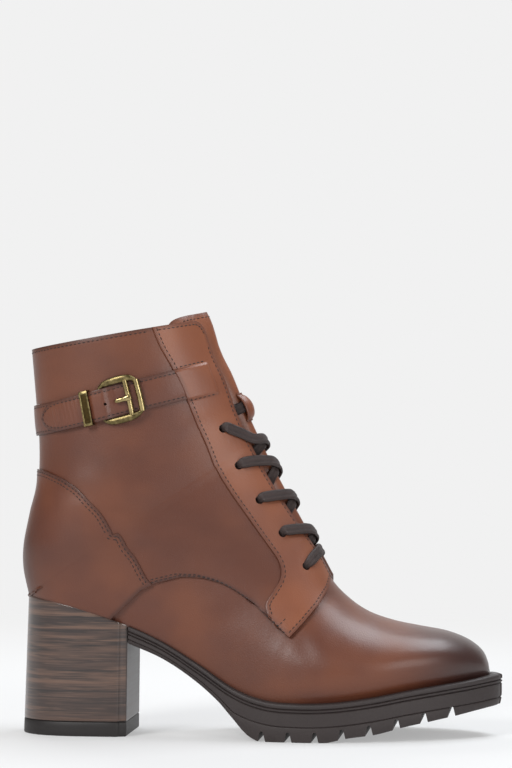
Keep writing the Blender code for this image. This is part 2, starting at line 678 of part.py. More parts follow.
def make_facing(name, side):
    """The eyelet facing, with its row of punched holes."""
    down = rows_with(FACING_SEAM, 0.0, 1.0)
    rearmost = min(column for _, column in FACING_SEAM)
    columns = np.array([rearmost] + [c for c in COLUMNS if c > rearmost])
    column = np.maximum(columns[None, :], linear(FACING_SEAM, down)[:, None])
    panel = sheet_layer(down[:, None], column, side, OVERLAY_FOOT, OVERLAY_TOP)
    made = leather(name, [panel], LIGHT_TAN)
    bm = bmesh.new()
    for row in eyelets(side):
        at = np.array([row])
        t = from_ridge(at, EYELET_LINE, side)
        n = outward(at, t, side)[0]
        foot = skin(at, t, side, ground(at) + QUARTER_TOP - PIECE_GAP)[0]
        head = skin(at, t, side, ground(at) + OVERLAY_TOP + 3 * PIECE_GAP)[0]
        up = (0.0, -n[2], n[1])
        sweep(bm, [foot, head], [up, up], round_profile(EYELET_WIDTH, EYELET_WIDTH, 10))
    punch = add(name + "_punch", bm, LACE_BROWN, 0.6)
    punch.hide_render = True
    punch.display_type = "WIRE"
    holes = made.modifiers.new("eyelets", "BOOLEAN")
    holes.operation = "DIFFERENCE"
    holes.solver = "EXACT"
    holes.object = punch
    return made


def tongue_height(s, t, side):
    """Outer face of the tongue: low under the facings, risen to the ridge between them."""
    low = ground(s) - UPPER_WALL - LACE_ROOM
    edge = throat(np.minimum(s, 17.0), side)
    rise = smooth((t - edge) / (1.0 - edge)) * (1.0 - smooth((s - 15.2) / 1.5))
    return low * (1.0 - rise)


def make_tongue():
    down = np.concatenate([[COLLAR_ROW], np.linspace(2.5, 8.5, 5), [11.0],
                           np.linspace(13.0, TONGUE_END, 6)])
    across = np.array([0.0, 0.25, 0.45, 0.62, 0.74, 0.84, 0.92, 1.0])
    step = np.linalg.norm(LAST[COLLAR_ROW, 2:4] - LAST[COLLAR_ROW - 1, 2:4])
    blocks = []
    for side in (OUTER, INNER):
        share = (down - COLLAR_ROW)[:, None] / (TONGUE_END - COLLAR_ROW)
        rise = TONGUE_RISE / step * np.sqrt(1.0 - (1.0 - across) ** 3)
        s = down[:, None] - rise[None, :] * (1.0 - share) ** 6
        reach = TONGUE_HALF_WIDTH * (1.0 - 0.35 * share[:, 0])
        edge = from_ridge(down, reach, side)[:, None]
        t = edge + (1.0 - edge) * across[None, :]
        top = tongue_height(s, t, side)
        blocks.append(layer(s, t, side, top - TONGUE_THICKNESS, top))
    return leather("tongue", blocks, LIGHT_TAN)


def ribbon(bm, start, end, lift, width, thickness, steps=9):
    """A flat lace from one place to another over the front of the last.

    A place is its row and its signed distance from the ridge; lift gives the height
    of the lace's lower face."""
    w = np.linspace(0.0, 1.0, steps)
    s = start[0] + (end[0] - start[0]) * w
    d = start[1] + (end[1] - start[1]) * w
    centres, ups = [], []
    for row, reach, share in zip(s, d, w):
        side = OUTER if reach < 0 else INNER
        at = np.array([row])
        t = from_ridge(at, abs(reach), side)
        centres.append(skin(at, t, side, lift(at, t, side, share) + 0.5 * thickness)[0])
        ups.append(outward(at, t, side)[0])
    sweep(bm, centres, ups, box_profile(width, thickness))


def over(s, t, side, share=0.0):
    """Height on which a lace lies above the facings and, taut, above the tongue."""
    edge = throat(s, side)
    gap = smooth((t - edge) / (1.0 - edge))
    return facing_top(s) * (1.0 - gap) + 2.0 * PIECE_GAP


def make_laces():
    rows = [eyelets(OUTER), eyelets(INNER)]
    flat = (LACE_WIDTH, LACE_THICKNESS)
    bm = bmesh.new()
    ribbon(bm, (rows[0][0], -EYELET_LINE), (rows[1][0], EYELET_LINE), over, *flat, steps=11)
    add("lace_bar", bm, LACE_BROWN, 0.6)
    for k in range(1, EYELET_COUNT):
        strips = []
        for n, side in enumerate((OUTER, INNER)):
            other = 1 - n
            edge = THROAT_HALF_GAP * linear(THROAT_EDGE, rows[other][k - 1]) - 0.5 * LACE_WIDTH
            bm = bmesh.new()

            def lift(s, t, here, share):
                own = over(s, t, here)
                tucked = tongue_height(s, t, here) + TUCK_GAP
                return own if here == side else np.minimum(own, tucked)

            start = (rows[n][k], side * EYELET_LINE)
            end = (rows[other][k - 1] - TUCK_SHIFT, -side * edge)
            ribbon(bm, start, end, lift, *flat, steps=10)
            name = f"lace_cross_{k}" if n == 0 else f"lace_cross_{k}_inner"
            strips.append(add(name, bm, LACE_BROWN, 0.6))
        union(strips[0], strips[1:])


def make_top_lace():
    """The top lace, run across the tongue through its loop and in under the facings."""
    row = 0.5 * (LOOP_TOP + LOOP_FOOT) - TOP_LACE_SHIFT
    reach = THROAT_HALF_GAP * linear(THROAT_EDGE, row) - 0.5 * LACE_THICKNESS

    def lift(s, t, side, share):
        slack = TOP_LACE_SLACK * smooth((share - 0.62) / 0.2) * smooth((1.0 - share) / 0.18)
        tuck = TUCK_GAP * smooth(2.5 * abs(2.0 * share - 1.0))
        return tongue_height(s, t, side) + tuck + PIECE_GAP + slack

    bm = bmesh.new()
    ribbon(bm, (row, -reach), (row, reach), lift, LACE_WIDTH, LACE_THICKNESS, steps=17)
    add("lace_top_bar", bm, LACE_BROWN, 0.6)


def strap_middle(side=OUTER):
    """Columns and rows of the strap's middle line, with lengths from its buckle."""
    column = np.linspace(0.0, 1.0, 201)
    s = linear(STRAP_LINE, column)
    path = on_last(s, throat(s, side) * column, side)
    length = np.concatenate([[0.0], np.linalg.norm(np.diff(path, axis=0), axis=1).cumsum()])
    return column, s, length - np.interp(STRAP_BUCKLE, column, length)


def strap_row(column, across, side):
    """Place on the last at a column of the shaft's grid and a distance across the strap."""
    column, across = np.broadcast_arrays(np.asarray(column, float), np.asarray(across, float))
    s = linear(STRAP_LINE, column)
    t = throat(s, side) * column
    step = on_last(s + 0.05, t, side) - on_last(s - 0.05, t, side)
    s = s - across / (np.linalg.norm(step, axis=-1) / 0.1)
    return s, throat(s, side) * column


def strap_point(along, across, height):
    column, _, length = strap_middle()
    s, t = strap_row(np.interp(along, length, column), across, OUTER)
    return skin(s, t, OUTER, height), outward(s, t, OUTER)


REAR_TOP = PIECE_GAP + STRAP_LEATHER
BAR_TOP = PIECE_GAP + BUCKLE_BAR
FRONT_HEIGHTS = (
    (-0.0600, REAR_TOP + PIECE_GAP), (-0.0160, REAR_TOP + PIECE_GAP),
    (-0.0130, BAR_TOP + PIECE_GAP), (-0.0088, BAR_TOP + PIECE_GAP),
    (-0.0060, 0.6 * BAR_TOP), (-0.0030, PIECE_GAP), (0.0600, PIECE_GAP),
)
STRAP_ACROSS = np.array([-1.0, -0.5, 0.0, 0.5, 1.0])
COLUMN_APART = 0.008


def over_facing(column, across, side):
    """How much the strap rises where it passes over the facing."""
    s, _ = strap_row(column, across, side)
    down = (s - COLLAR_ROW) / (QUARTER_SEAM[9][0] - COLLAR_ROW)
    edge = linear(FACING_SEAM, down)
    return (OVERLAY_TOP - QUARTER_TOP) * np.clip((column - edge) / 0.03 + 1.5, 0.0, 1.0)


def make_straps():
    half = 0.5 * STRAP_WIDTH
    column, _, length = strap_middle()
    along = [length_at for length_at, _ in FRONT_HEIGHTS[1:-1]]
    along += [-STRAP_TIP + share * STRAP_TIP_LENGTH for share in (0.0, 0.05, 0.2, 0.5, 1.0)]
    front = [float(np.interp(a, length, column)) for a in along]
    front += list(STRAP_CLIMB) + [STRAP_END]
    free = [c for c in COLUMNS if front[5] + 0.02 < c < STRAP_END]
    front += [c for c in free if min(abs(c - f) for f in front) > COLUMN_APART]
    front = np.array(sorted(front))
    along = np.interp(front, column, length)
    tip = np.clip((-STRAP_TIP + STRAP_TIP_LENGTH - along) / STRAP_TIP_LENGTH, 0.0, 0.98)
    across = STRAP_ACROSS[None, :] * half * np.sqrt(1.0 - tip[:, None] ** 2)
    s, t = strap_row(front[:, None], across, OUTER)
    low = linear(FRONT_HEIGHTS, along)[:, None] + over_facing(front[:, None], across, OUTER)
    leather("strap_front", [layer(s, t, OUTER, low, low + STRAP_LEATHER)], TAN)
    blocks = []
    start = -0.5 * BUCKLE_LENGTH - 0.5 * BUCKLE_BAR - 0.001
    outer = float(np.interp(start, length, column))
    for side, ends in ((OUTER, [outer]), (INNER, list(STRAP_CLIMB) + [STRAP_END])):
        places = [c for c in COLUMNS if c < ends[-1] and min(abs(c - e) for e in ends) > COLUMN_APART]
        places = np.array(sorted(places + ends))[:, None]
        s, t = strap_row(places, STRAP_ACROSS[None, :] * half, side)
        low = PIECE_GAP + over_facing(places, STRAP_ACROSS[None, :] * half, side)
        blocks.append(layer(s, t, side, low, low + STRAP_LEATHER))
    leather("strap_rear", blocks, TAN)


def make_buckle():
    half_long = 0.5 * (BUCKLE_LENGTH - BUCKLE_BAR)
    half_high = 0.5 * STRAP_WIDTH + PIECE_GAP + 0.5 * BUCKLE_BAR
    corner = 0.0035
    ring = []
    for cx, cy, turn in ((1, 1, 0), (-1, 1, 90), (-1, -1, 180), (1, -1, 270)):
        for k in range(4):
            a = math.radians(turn + 30 * k)
            ring.append((cx * (half_long - corner) + corner * math.cos(a),
                         cy * (half_high - corner) + corner * math.sin(a)))
    low = PIECE_GAP + 0.5 * BUCKLE_BAR
    high = PIECE_GAP + STRAP_LEATHER + PIECE_GAP + 0.5 * BUCKLE_BAR
    ring = np.array(ring)
    height = low + (high - low) * smooth((ring[:, 0] + half_long) / (2.0 * half_long) * 1.3)
    centres, ups = strap_point(ring[:, 0], ring[:, 1], height)
    bm = bmesh.new()
    sweep(bm, centres, ups, round_profile(BUCKLE_BAR, BUCKLE_BAR), closed=True)
    frame = add("buckle", bm, AGED_BRASS, 0.35, 1.0)
    across = np.linspace(-half_high, half_high, 5)
    centres, ups = strap_point(np.full(5, BUCKLE_INNER_BAR), across, high)
    bm = bmesh.new()
    sweep(bm, centres, ups, round_profile(0.9 * BUCKLE_BAR, 0.9 * BUCKLE_BAR))
    union(frame, [add("buckle_bar", bm, AGED_BRASS, 0.35, 1.0)])
    strap_top = PIECE_GAP + STRAP_LEATHER
    over_bar = high + 0.5 * BUCKLE_BAR + PIECE_GAP + 0.5 * PRONG_METAL
    on_strap = strap_top + PIECE_GAP + 0.5 * PRONG_METAL
    along = BUCKLE_INNER_BAR + np.array([0.0018, 0.0, -0.0018, -0.0036, -0.0060])
    halfway = 0.45 * over_bar + 0.55 * on_strap
    height = np.array([over_bar, over_bar + 0.0002, over_bar - 0.0004, halfway, on_strap])
    centres, ups = strap_point(along, np.zeros(5), height)
    bm = bmesh.new()
    sweep(bm, centres, ups, lambda w: box_profile(PRONG_WIDTH * (1.0 - 0.45 * w), PRONG_METAL))
    add("buckle_prong", bm, AGED_BRASS, 0.35, 1.0)


def make_keeper():
    """A flat metal loop over both straps."""
    side = 0.5 * STRAP_WIDTH + 2.5 * PIECE_GAP + 0.5 * KEEPER_METAL
    roof = REAR_TOP + PIECE_GAP + STRAP_LEATHER + 2.5 * PIECE_GAP + 0.5 * KEEPER_METAL
    foot = PIECE_GAP + 0.0002
    path = [(-side, foot), (-side, roof - 0.0006), (-side + 0.0006, roof), (0.0, roof + 0.0003),
            (side - 0.0006, roof), (side, roof - 0.0006), (side, foot)]
    path = np.array(path)
    middle, up = strap_point(-KEEPER_PLACE, 0.0, 0.0)
    ends = strap_point(np.array([-KEEPER_PLACE] * 2), np.array([-side, side]), 0.0)[0]
    cross = (ends[1] - ends[0]) / np.linalg.norm(ends[1] - ends[0])
    out = up - cross * float(up @ cross)
    out /= np.linalg.norm(out)
    bow = float((ends.mean(axis=0) - middle) @ out)
    bm = bmesh.new()
    bows = [0.5 * bow if abs(b) > 0.9 * side else 0.0 for b, _ in path]
    centres = [middle + cross * b + out * (h + bent) for (b, h), bent in zip(path, bows)]
    along = np.cross(cross, out)
    ahead = np.gradient(np.array(centres), axis=0)
    sweep(bm, centres, np.cross(along, ahead), box_profile(KEEPER_WIDTH, KEEPER_METAL))
    add("strap_keeper", bm, AGED_BRASS, 0.35, 1.0)


def make_loop():
    """A leather loop on the tongue, with the top lace passing under it."""
    s = np.linspace(LOOP_TOP, LOOP_FOOT, 9)
    w = np.linspace(0.0, 1.0, 9)
    bulge = LACE_THICKNESS + 2 * PIECE_GAP
    height = PIECE_GAP + bulge * np.sin(math.pi * w) ** 0.6 + 0.5 * LOOP_LEATHER
    centres = skin(s, np.ones(9), OUTER, height)
    ups = outward(s, np.ones(9), OUTER)
    bm = bmesh.new()
    sweep(bm, centres, ups, box_profile(LOOP_WIDTH, LOOP_LEATHER))
    add("tongue_loop", bm, LIGHT_TAN, 0.45)


def feather(s, side):
    """The line where the upper meets the sole."""
    return on_last(s, np.zeros(len(s)), side)


def outline(s, margin):
    """A closed ring round the feather line: outer side, toe, inner side."""
    outer, inner = feather(s, OUTER), feather(s, INNER)
    points = np.vstack([outer, inner[::-1]])
    flat = points[:, :2]
    tangent = np.gradient(flat, axis=0)
    tangent[0] = flat[1] - flat[0]
    tangent[-1] = flat[-1] - flat[-2]
    tangent /= np.linalg.norm(tangent, axis=1, keepdims=True)
    normal = np.stack([tangent[:, 1], -tangent[:, 0]], axis=1)
    m = np.concatenate([margin, margin[::-1]])
    made = points.copy()
    made[:, :2] += normal * m[:, None]
    return made, normal


def base_rows():
    """Positions along the feather line that every piece there shares."""
    shaft = shaft_rows()
    heel = shaft_place(shaft[shaft >= 0.5], 0.0, OUTER)[0]
    foot = vamp_place(np.array(VAMP_ROWS), 0.0, OUTER)[0]
    rows = np.concatenate([heel[heel >= CORNER_ROW - TOUCH], foot[1:]])
    for row in (breast_row(),) + FLAT_ROWS:
        rows = np.sort(np.append(rows[np.abs(rows - row) > 0.2], row))
    return rows


def breast_row():
    """Position along the rows where the sole meets the heel's front."""
    fine = np.linspace(12.0, 15.0, 301)
    return float(np.interp(HEEL_FRONT + PIECE_GAP, rows_at(fine)[:, 0], fine))


def sole_under(x, top):
    """Height of the sole's underside: flat on the floor under the ball."""
    share = (x + HEEL_BACK) / FOOT_LENGTH
    thick = BALL_HEIGHT * linear_smooth(SOLE_THICKNESS, share)
    return np.maximum(top - thick, 0.0)


def linear_smooth(table, x):
    """Values on a smooth curve through a table of pairs."""
    table = np.array(table)
    place = np.interp(x, table[:, 0], np.arange(len(table)))
    return through(table[:, 1:], place.ravel()).reshape(np.shape(x))


def make_outsole():
    s = base_rows()
    s = s[s > breast_row() - TOUCH]
    margin = SOLE_PROUD * linear(SOLE_STEP_OUT, s)
    ring, normal = outline(s, margin)
    tip = ring[len(s) - 1:len(s) + 1].mean(axis=0)
    tip[0] += 0.0012
    ring = np.insert(ring, len(s), tip, axis=0)
    normal = np.insert(normal, len(s), (1.0, 0.0), axis=0)
    ring[[0, -1], 0] = HEEL_FRONT + PIECE_GAP
    normal[[0, -1], 0] = 0.0
    top = ring[:, 2] - PIECE_GAP
    under = sole_under(ring[:, 0], top)
    rings = []
    for depth, share, inset in SOLE_SIDE:
        level = ring.copy()
        level[:, :2] -= normal * inset
        level[:, 2] = top - np.minimum(depth, share * (top - under))
        rings.append(level)
    level = ring.copy()
    level[:, :2] -= normal * SOLE_FOOT_IN
    level[:, 2] = under
    rings.append(level)
    made = stack("outsole", rings, RUBBER_BROWN, 0.6)
    bm = bmesh.new()
    first = LUG_START * FOOT_LENGTH - HEEL_BACK
    toe = float(ring[:, 0].max()) - SOLE_PROUD
    for x in np.arange(first, toe - LUG_TOE_MARGIN, LUG_PITCH):
        outer = np.interp(x, ring[:len(s), 0], ring[:len(s), 1]) - LUG_OVERRUN
        inner = np.interp(x, ring[:len(s):-1, 0], ring[:len(s):-1, 1]) + LUG_OVERRUN
        z = float(sole_under(np.array([x]), np.interp([x], ring[:len(s), 0], top[:len(s)]))[0])
        low, roof = 0.5 * LUG_GAP + LUG_DRAFT, 0.5 * LUG_GAP_ROOF
        foot = z - 0.6 * LUG_HEIGHT
        head = z + LUG_HEIGHT
        shape = ((x - low, foot), (x + low, foot), (x + roof, head), (x - roof, head))
        a = [bm.verts.new((px, outer, pz)) for px, pz in shape]
        b = [bm.verts.new((px, inner, pz)) for px, pz in shape]
        bm.faces.new(a)
        bm.faces.new(b)
        for i in range(4):
            bm.faces.new((a[i], a[(i + 1) % 4], b[(i + 1) % 4], b[i]))
    bmesh.ops.recalc_face_normals(bm, faces=bm.faces)
    notches = add("lug_notches", bm, RUBBER_BROWN, 0.6)
    notches.hide_render = True
    notches.display_type = "WIRE"
    cut = made.modifiers.new("lugs", "BOOLEAN")
    cut.operation = "DIFFERENCE"
    cut.solver = "EXACT"
    cut.object = notches
    return made


def heel_ring(margin):
    """The heel's outline at the seat, with a flat front and rounded front corners."""
    fine = np.linspace(CORNER_ROW, BREAST_ROW, 500)
    x = rows_at(fine)[:, 0]
    front = HEEL_FRONT - HEEL_CORNER
    end = float(np.interp(front, x, fine))
    s = np.concatenate([[8.0, 8.35, 8.7], np.linspace(9.0, end, 9), [end + 0.2]])
    made, _ = outline(s, np.full(len(s), margin))
    outer, inner = made[:len(s) - 1, :2], made[len(s) + 1:, :2][::-1]
    turns = np.radians([30.0, 60.0, 90.0])
    arc = HEEL_CORNER * np.stack([np.sin(turns), 1.0 - np.cos(turns)], axis=1)
    outer = np.vstack([outer, outer[-1] + arc])
    inner = np.vstack([inner, inner[-1] + arc * (1.0, -1.0)])
    outer[-1, 0] = inner[-1, 0] = HEEL_FRONT
    return np.vstack([outer[::-1], inner[1:]])


def seat_height(x):
    """Height of the feather line over the heel."""
    fine = np.linspace(CORNER_ROW, 14.0, 600)
    r = rows_at(fine)
    return np.interp(x, r[:, 0], r[:, 1])


def make_heel():
    flat = heel_ring(HEEL_PROUD)
    top = seat_height(flat[:, 0]) - PIECE_GAP

    def level(z):
        share = np.clip(1.0 - z / HEEL_SEAT_HEIGHT, 0.0, 1.0)
        x = flat[:, 0] * (1.0 + HEEL_BOTTOM_GROWTH * share) - HEEL_BOTTOM_SHIFT * share
        return np.stack([x, flat[:, 1], z], axis=1)

    n = len(flat)
    foot = LIFT_THICKNESS + PIECE_GAP
    rings = [level(top), level(0.5 * (top + foot)), level(np.full(n, foot))]
    stack("heel_block", rings, WOOD_BROWN, 0.3)
    stack("heel_lift", [level(np.full(n, LIFT_THICKNESS)), level(np.zeros(n))], RUBBER_BROWN, 0.6)


def make_insole():
    """The insole inside the upper, on the heel and the sole."""
    s = base_rows()
    s = s[(s > CORNER_ROW + 0.3) & (s < LAST_ROW - 1.2)]
    low, _ = outline(s, ground(s) - UPPER_WALL - INSOLE_GAP)
    high = low.copy()
    high[:, 2] += INSOLE_THICKNESS
    stack("insole", [low, high], LIGHT_TAN, 0.7)


def main():
    for item in list(bpy.data.objects):
        bpy.data.objects.remove(item, do_unlink=True)
    make_upper()
    make_outsole()
    make_heel()
    make_insole()
    make_tongue()
    make_quarters()
    make_counter()
    make_facing("facing_lateral", OUTER)
    make_facing("facing_medial", INNER)
    make_laces()
    make_top_lace()
    make_straps()
    make_buckle()
    make_keeper()
    make_loop()


main()
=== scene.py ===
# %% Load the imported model
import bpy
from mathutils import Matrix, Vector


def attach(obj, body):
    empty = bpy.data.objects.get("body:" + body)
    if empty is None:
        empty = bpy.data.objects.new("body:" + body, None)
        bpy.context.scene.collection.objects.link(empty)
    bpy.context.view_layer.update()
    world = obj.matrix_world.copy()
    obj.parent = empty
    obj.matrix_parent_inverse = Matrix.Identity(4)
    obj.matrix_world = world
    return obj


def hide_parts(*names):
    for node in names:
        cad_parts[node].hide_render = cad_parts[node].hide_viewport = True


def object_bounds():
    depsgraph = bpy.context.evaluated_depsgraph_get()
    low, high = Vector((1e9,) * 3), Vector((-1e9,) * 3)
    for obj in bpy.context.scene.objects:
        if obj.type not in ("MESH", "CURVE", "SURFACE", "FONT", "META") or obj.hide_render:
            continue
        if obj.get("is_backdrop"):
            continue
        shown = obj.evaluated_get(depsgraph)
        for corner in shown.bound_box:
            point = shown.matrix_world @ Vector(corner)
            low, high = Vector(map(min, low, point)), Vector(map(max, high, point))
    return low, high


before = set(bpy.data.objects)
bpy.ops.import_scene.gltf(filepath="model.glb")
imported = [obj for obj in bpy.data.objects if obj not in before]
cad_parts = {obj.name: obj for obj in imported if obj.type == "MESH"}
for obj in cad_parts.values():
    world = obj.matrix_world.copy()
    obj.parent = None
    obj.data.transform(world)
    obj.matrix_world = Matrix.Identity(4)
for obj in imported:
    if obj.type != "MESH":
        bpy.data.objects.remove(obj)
cad_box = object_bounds()
print("solids to dress:", sorted(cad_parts))

# %% [markdown]
# # A lace-up ankle boot with a block heel
# A right boot for a woman, seen from its outer side. A boot is built on a last, the
# wooden shape of a foot, and every leather is a sheet that lies on it. So the last comes
# first here as numbers, and each leather is a grid of faces laid over it at its own
# height. A box cut to shape would never get the soft double curves of pulled leather.

# %% The tools
import math

import bpy
import numpy as np
from mathutils import Vector
from mathutils.bvhtree import BVHTree
from mathutils.kdtree import KDTree

MM = 0.001

# %% [markdown]
# ## Camera
# A product photograph is taken with a long lens from far away, so that the near and far
# side look the same size. The camera stands level, at half the picture's height.

# %% Camera
CAMERA_TURN = math.radians(6.0)
CAMERA_DISTANCE = 1.73
AIM = Vector((0.1005, 0.0, 0.1905))
lens = bpy.data.cameras.new("camera")
lens.lens = 148.6
lens.clip_end = 60.0
camera = bpy.data.objects.new("camera", lens)
bpy.context.scene.collection.objects.link(camera)
camera.location = AIM + CAMERA_DISTANCE * Vector((math.sin(CAMERA_TURN), -math.cos(CAMERA_TURN), 0.0))
camera.rotation_euler = (math.radians(90.0), 0.0, CAMERA_TURN)
bpy.context.scene.camera = camera
bpy.context.scene.view_settings.view_transform = "Standard"
print("camera at", [round(x, 3) for x in camera.location])

# %% [markdown]
# ## Writing a material as a sum
# A material is a net of nodes. Wired by hand it soon gets hard to read, so this small
# class holds one output of a node, and plus, minus and times on it add the Math nodes.

# %% A value on its way through the nodes
class Flow:
    def __init__(self, tree, socket):
        self.tree = tree
        self.socket = socket

    def node(self, kind, settings=(), inputs=(), output=0):
        made = self.tree.nodes.new(kind)
        for key, value in dict(settings).items():
            setattr(made, key, value)
        for key, value in dict(inputs).items():
            if isinstance(value, Flow):
                self.tree.links.new(value.socket, made.inputs[key])
            else:
                made.inputs[key].default_value = value
        return Flow(self.tree, made.outputs[output])

    def sum(self, operation, a, b):
        return self.node("ShaderNodeMath", {"operation": operation}, {0: a, 1: b})

    def __add__(self, other):
        return self.sum("ADD", self, other)

    def __sub__(self, other):
        return self.sum("SUBTRACT", self, other)

    def __rsub__(self, other):
        return self.sum("SUBTRACT", other, self)

    def __mul__(self, other):
        return self.sum("MULTIPLY", self, other)

    __radd__ = __add__
    __rmul__ = __mul__

    def between(self, low, high):
        """Rises smoothly from 0 to 1 as the value goes from low to high."""
        settings = {"interpolation_type": "SMOOTHSTEP", "clamp": True}
        return self.node("ShaderNodeMapRange", settings, {0: self, 1: low, 2: high})

    def mix(self, first, second):
        """The first colour where this is 0, the second where it is 1."""
        first = first if isinstance(first, Flow) else (*first, 1.0)
        second = second if isinstance(second, Flow) else (*second, 1.0)
        return self.node("ShaderNodeMix", {"data_type": "RGBA"}, {0: self, 6: first, 7: second}, 2)


def colour(red, green, blue):
    """A colour as it is read off a screen, from 0 to 255, made linear."""
    return tuple(((c / 255 + 0.055) / 1.055) ** 2.4 if c > 10 else c / 3295 for c in (red, green, blue))


# %% A new finish
class Finish:
    def __init__(self, name, **uniform):
        self.material = bpy.data.materials.new(name)
        self.material.use_nodes = True
        tree = self.material.node_tree
        self.shader = tree.nodes["Principled BSDF"]
        place = tree.nodes.new("ShaderNodeTexCoord")
        self.place = Flow(tree, place.outputs["Object"])
        for key, value in uniform.items():
            self.shader.inputs[key.replace("_", " ")].default_value = value

    def axis(self, k):
        return self.place.node("ShaderNodeSeparateXYZ", (), {0: self.place}, k)

    def stretched(self, x, y, z):
        return self.place.node("ShaderNodeMapping", (), {0: self.place, 3: (x, y, z)})

    def noise(self, scale, detail=2.0, place=None, roughness=0.5):
        place = self.place if place is None else place
        sizes = {"Vector": place, "Scale": scale, "Detail": detail, "Roughness": roughness}
        return self.place.node("ShaderNodeTexNoise", (), sizes)

    def cells(self, scale, feature="F1", place=None):
        place = self.place if place is None else place
        return self.place.node("ShaderNodeTexVoronoi", {"feature": feature},
                               {"Vector": place, "Scale": scale})

    def attribute(self, name):
        return self.place.node("ShaderNodeAttribute", {"attribute_name": name}, (), "Fac")

    def set(self, name, value):
        self.place.tree.links.new(value.socket, self.shader.inputs[name])

    def bump(self, height, depth, strength=1.0):
        """A relief of that depth in metres."""
        made = self.place.node("ShaderNodeBump", (), {"Strength": strength, "Distance": depth,
                                                       "Height": height})
        self.set("Normal", made)


print("colours are mixed in linear light")

# %% [markdown]
# ## Light and floor
# Soft light hides nothing and throws no hard shadow: a large lamp above and to the left,
# a long one over the toe, a weaker one from the right, and a world that is bright behind
# the boot and dim in front, so that its edges shine and its side stays rich. The floor is
# one wide sheet that glows by itself, which is painted light: in part near the boot, where
# its matt share takes the soft shadow under the sole and the glow keeps that shadow pale,
# and fully farther out, so that it fades into the world behind it.

# %% Lamps
def lamp(name, place, aim, width, height, power, tint=(1.0, 1.0, 1.0)):
    data = bpy.data.lights.new(name, "AREA")
    data.shape = "RECTANGLE"
    data.size, data.size_y = width, height
    data.energy = power
    data.color = tint
    made = bpy.data.objects.new(name, data)
    bpy.context.scene.collection.objects.link(made)
    made.location = place
    made.rotation_euler = (Vector(aim) - Vector(place)).to_track_quat("-Z", "Y").to_euler()


lamp("key", (-0.75, -1.35, 1.05), (0.05, 0.0, 0.12), 0.55, 0.9, 21.0)
lamp("over_toe", (0.55, 0.25, 1.15), (0.15, 0.0, 0.05), 0.9, 0.5, 11.0, (0.90, 0.95, 1.0))
lamp("fill", (1.1, -1.2, 0.55), (0.10, 0.0, 0.10), 0.5, 0.8, 7.5)
lamp("behind", (-0.4, 1.3, 0.9), (0.05, 0.0, 0.12), 0.8, 0.8, 10.0)

# %% World and floor
PALE = colour(241, 241, 241)
world = bpy.data.worlds.new("studio")
world.use_nodes = True
bpy.context.scene.world = world
sky = world.node_tree.nodes["Background"]
sky.inputs["Color"].default_value = (*PALE, 1.0)
seen = world.node_tree.nodes.new("ShaderNodeLightPath")
sight = Flow(world.node_tree, seen.outputs["Is Camera Ray"])
way = sight.node("ShaderNodeTexCoord", output="Generated")
backdrop = sight.node("ShaderNodeSeparateXYZ", (), {0: way}, 1).between(0.50, 0.95)
around = 0.22 + 0.78 * backdrop
world.node_tree.links.new((around + sight * (1.0 - around)).socket, sky.inputs["Strength"])
bpy.ops.object.select_all(action="DESELECT")
bpy.ops.mesh.primitive_circle_add(vertices=64, radius=30.0, fill_type="NGON", location=(0.1, 0.0, 0.0))
floor = bpy.context.object
floor.name = "floor"
bpy.ops.object.transform_apply()
pale = bpy.data.materials.new("pale_floor")
pale.use_nodes = True
start = Flow(pale.node_tree, pale.node_tree.nodes["Principled BSDF"].outputs[0])
place = start.node("ShaderNodeTexCoord", output="Object")
reach = start.node("ShaderNodeVectorMath", {"operation": "LENGTH"}, {0: place}, 1)
# Painted light: the floor glows by itself, 42 per cent near the boot, which keeps the shadow under the
# sole pale, and fully farther out
share = 0.42 + 0.58 * reach.between(0.25, 0.90)
matt = start.node("ShaderNodeBsdfDiffuse", (), {"Color": (0.79, 0.79, 0.79, 1.0)})
glow = start.node("ShaderNodeEmission", (), {"Color": (*PALE, 1.0), "Strength": 1.0})
both = start.node("ShaderNodeMixShader", (), {0: share, 1: matt, 2: glow})
pale.node_tree.links.new(both.socket, pale.node_tree.nodes["Material Output"].inputs[0])
floor.data.materials.append(pale)
floor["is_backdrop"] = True
print("floor and four lamps are in")

# %% [markdown]
# ## The last
# The last is cut into flat sections. The first rows go up the leg, the later ones fan
# down over the instep and the forefoot. Each row gives where its section starts at the
# back or the sole, where it ends on the front ridge, how wide it is and how full its
# curve is. All sizes are in metres: +X is the toe, -Y the outer side, +Z is up.

# %% Sizes of the last, in metres
FOOT_LENGTH = 0.2555
HEEL_BACK = 0.028
HEEL_SEAT_HEIGHT = 0.0752
BALL_HEIGHT = 0.0207
TOE_RISE = 0.0131
COLLAR_HEIGHT = 0.209
VAMP_HEIGHT = 0.062
SHAFT_WIDTH = 0.067
BALL_WIDTH = 0.086
HEEL_SEAT_WIDTH = 0.053
TOE_SWING = 0.003

# %% Leather and the gaps between pieces
PIECE_GAP = 0.0003
UPPER_WALL = 0.002
QUARTER_LEATHER = 0.001
INSOLE_GAP = 0.0008
# Near the sole the leather turns upright over this height
SEAT_TURN = 0.007

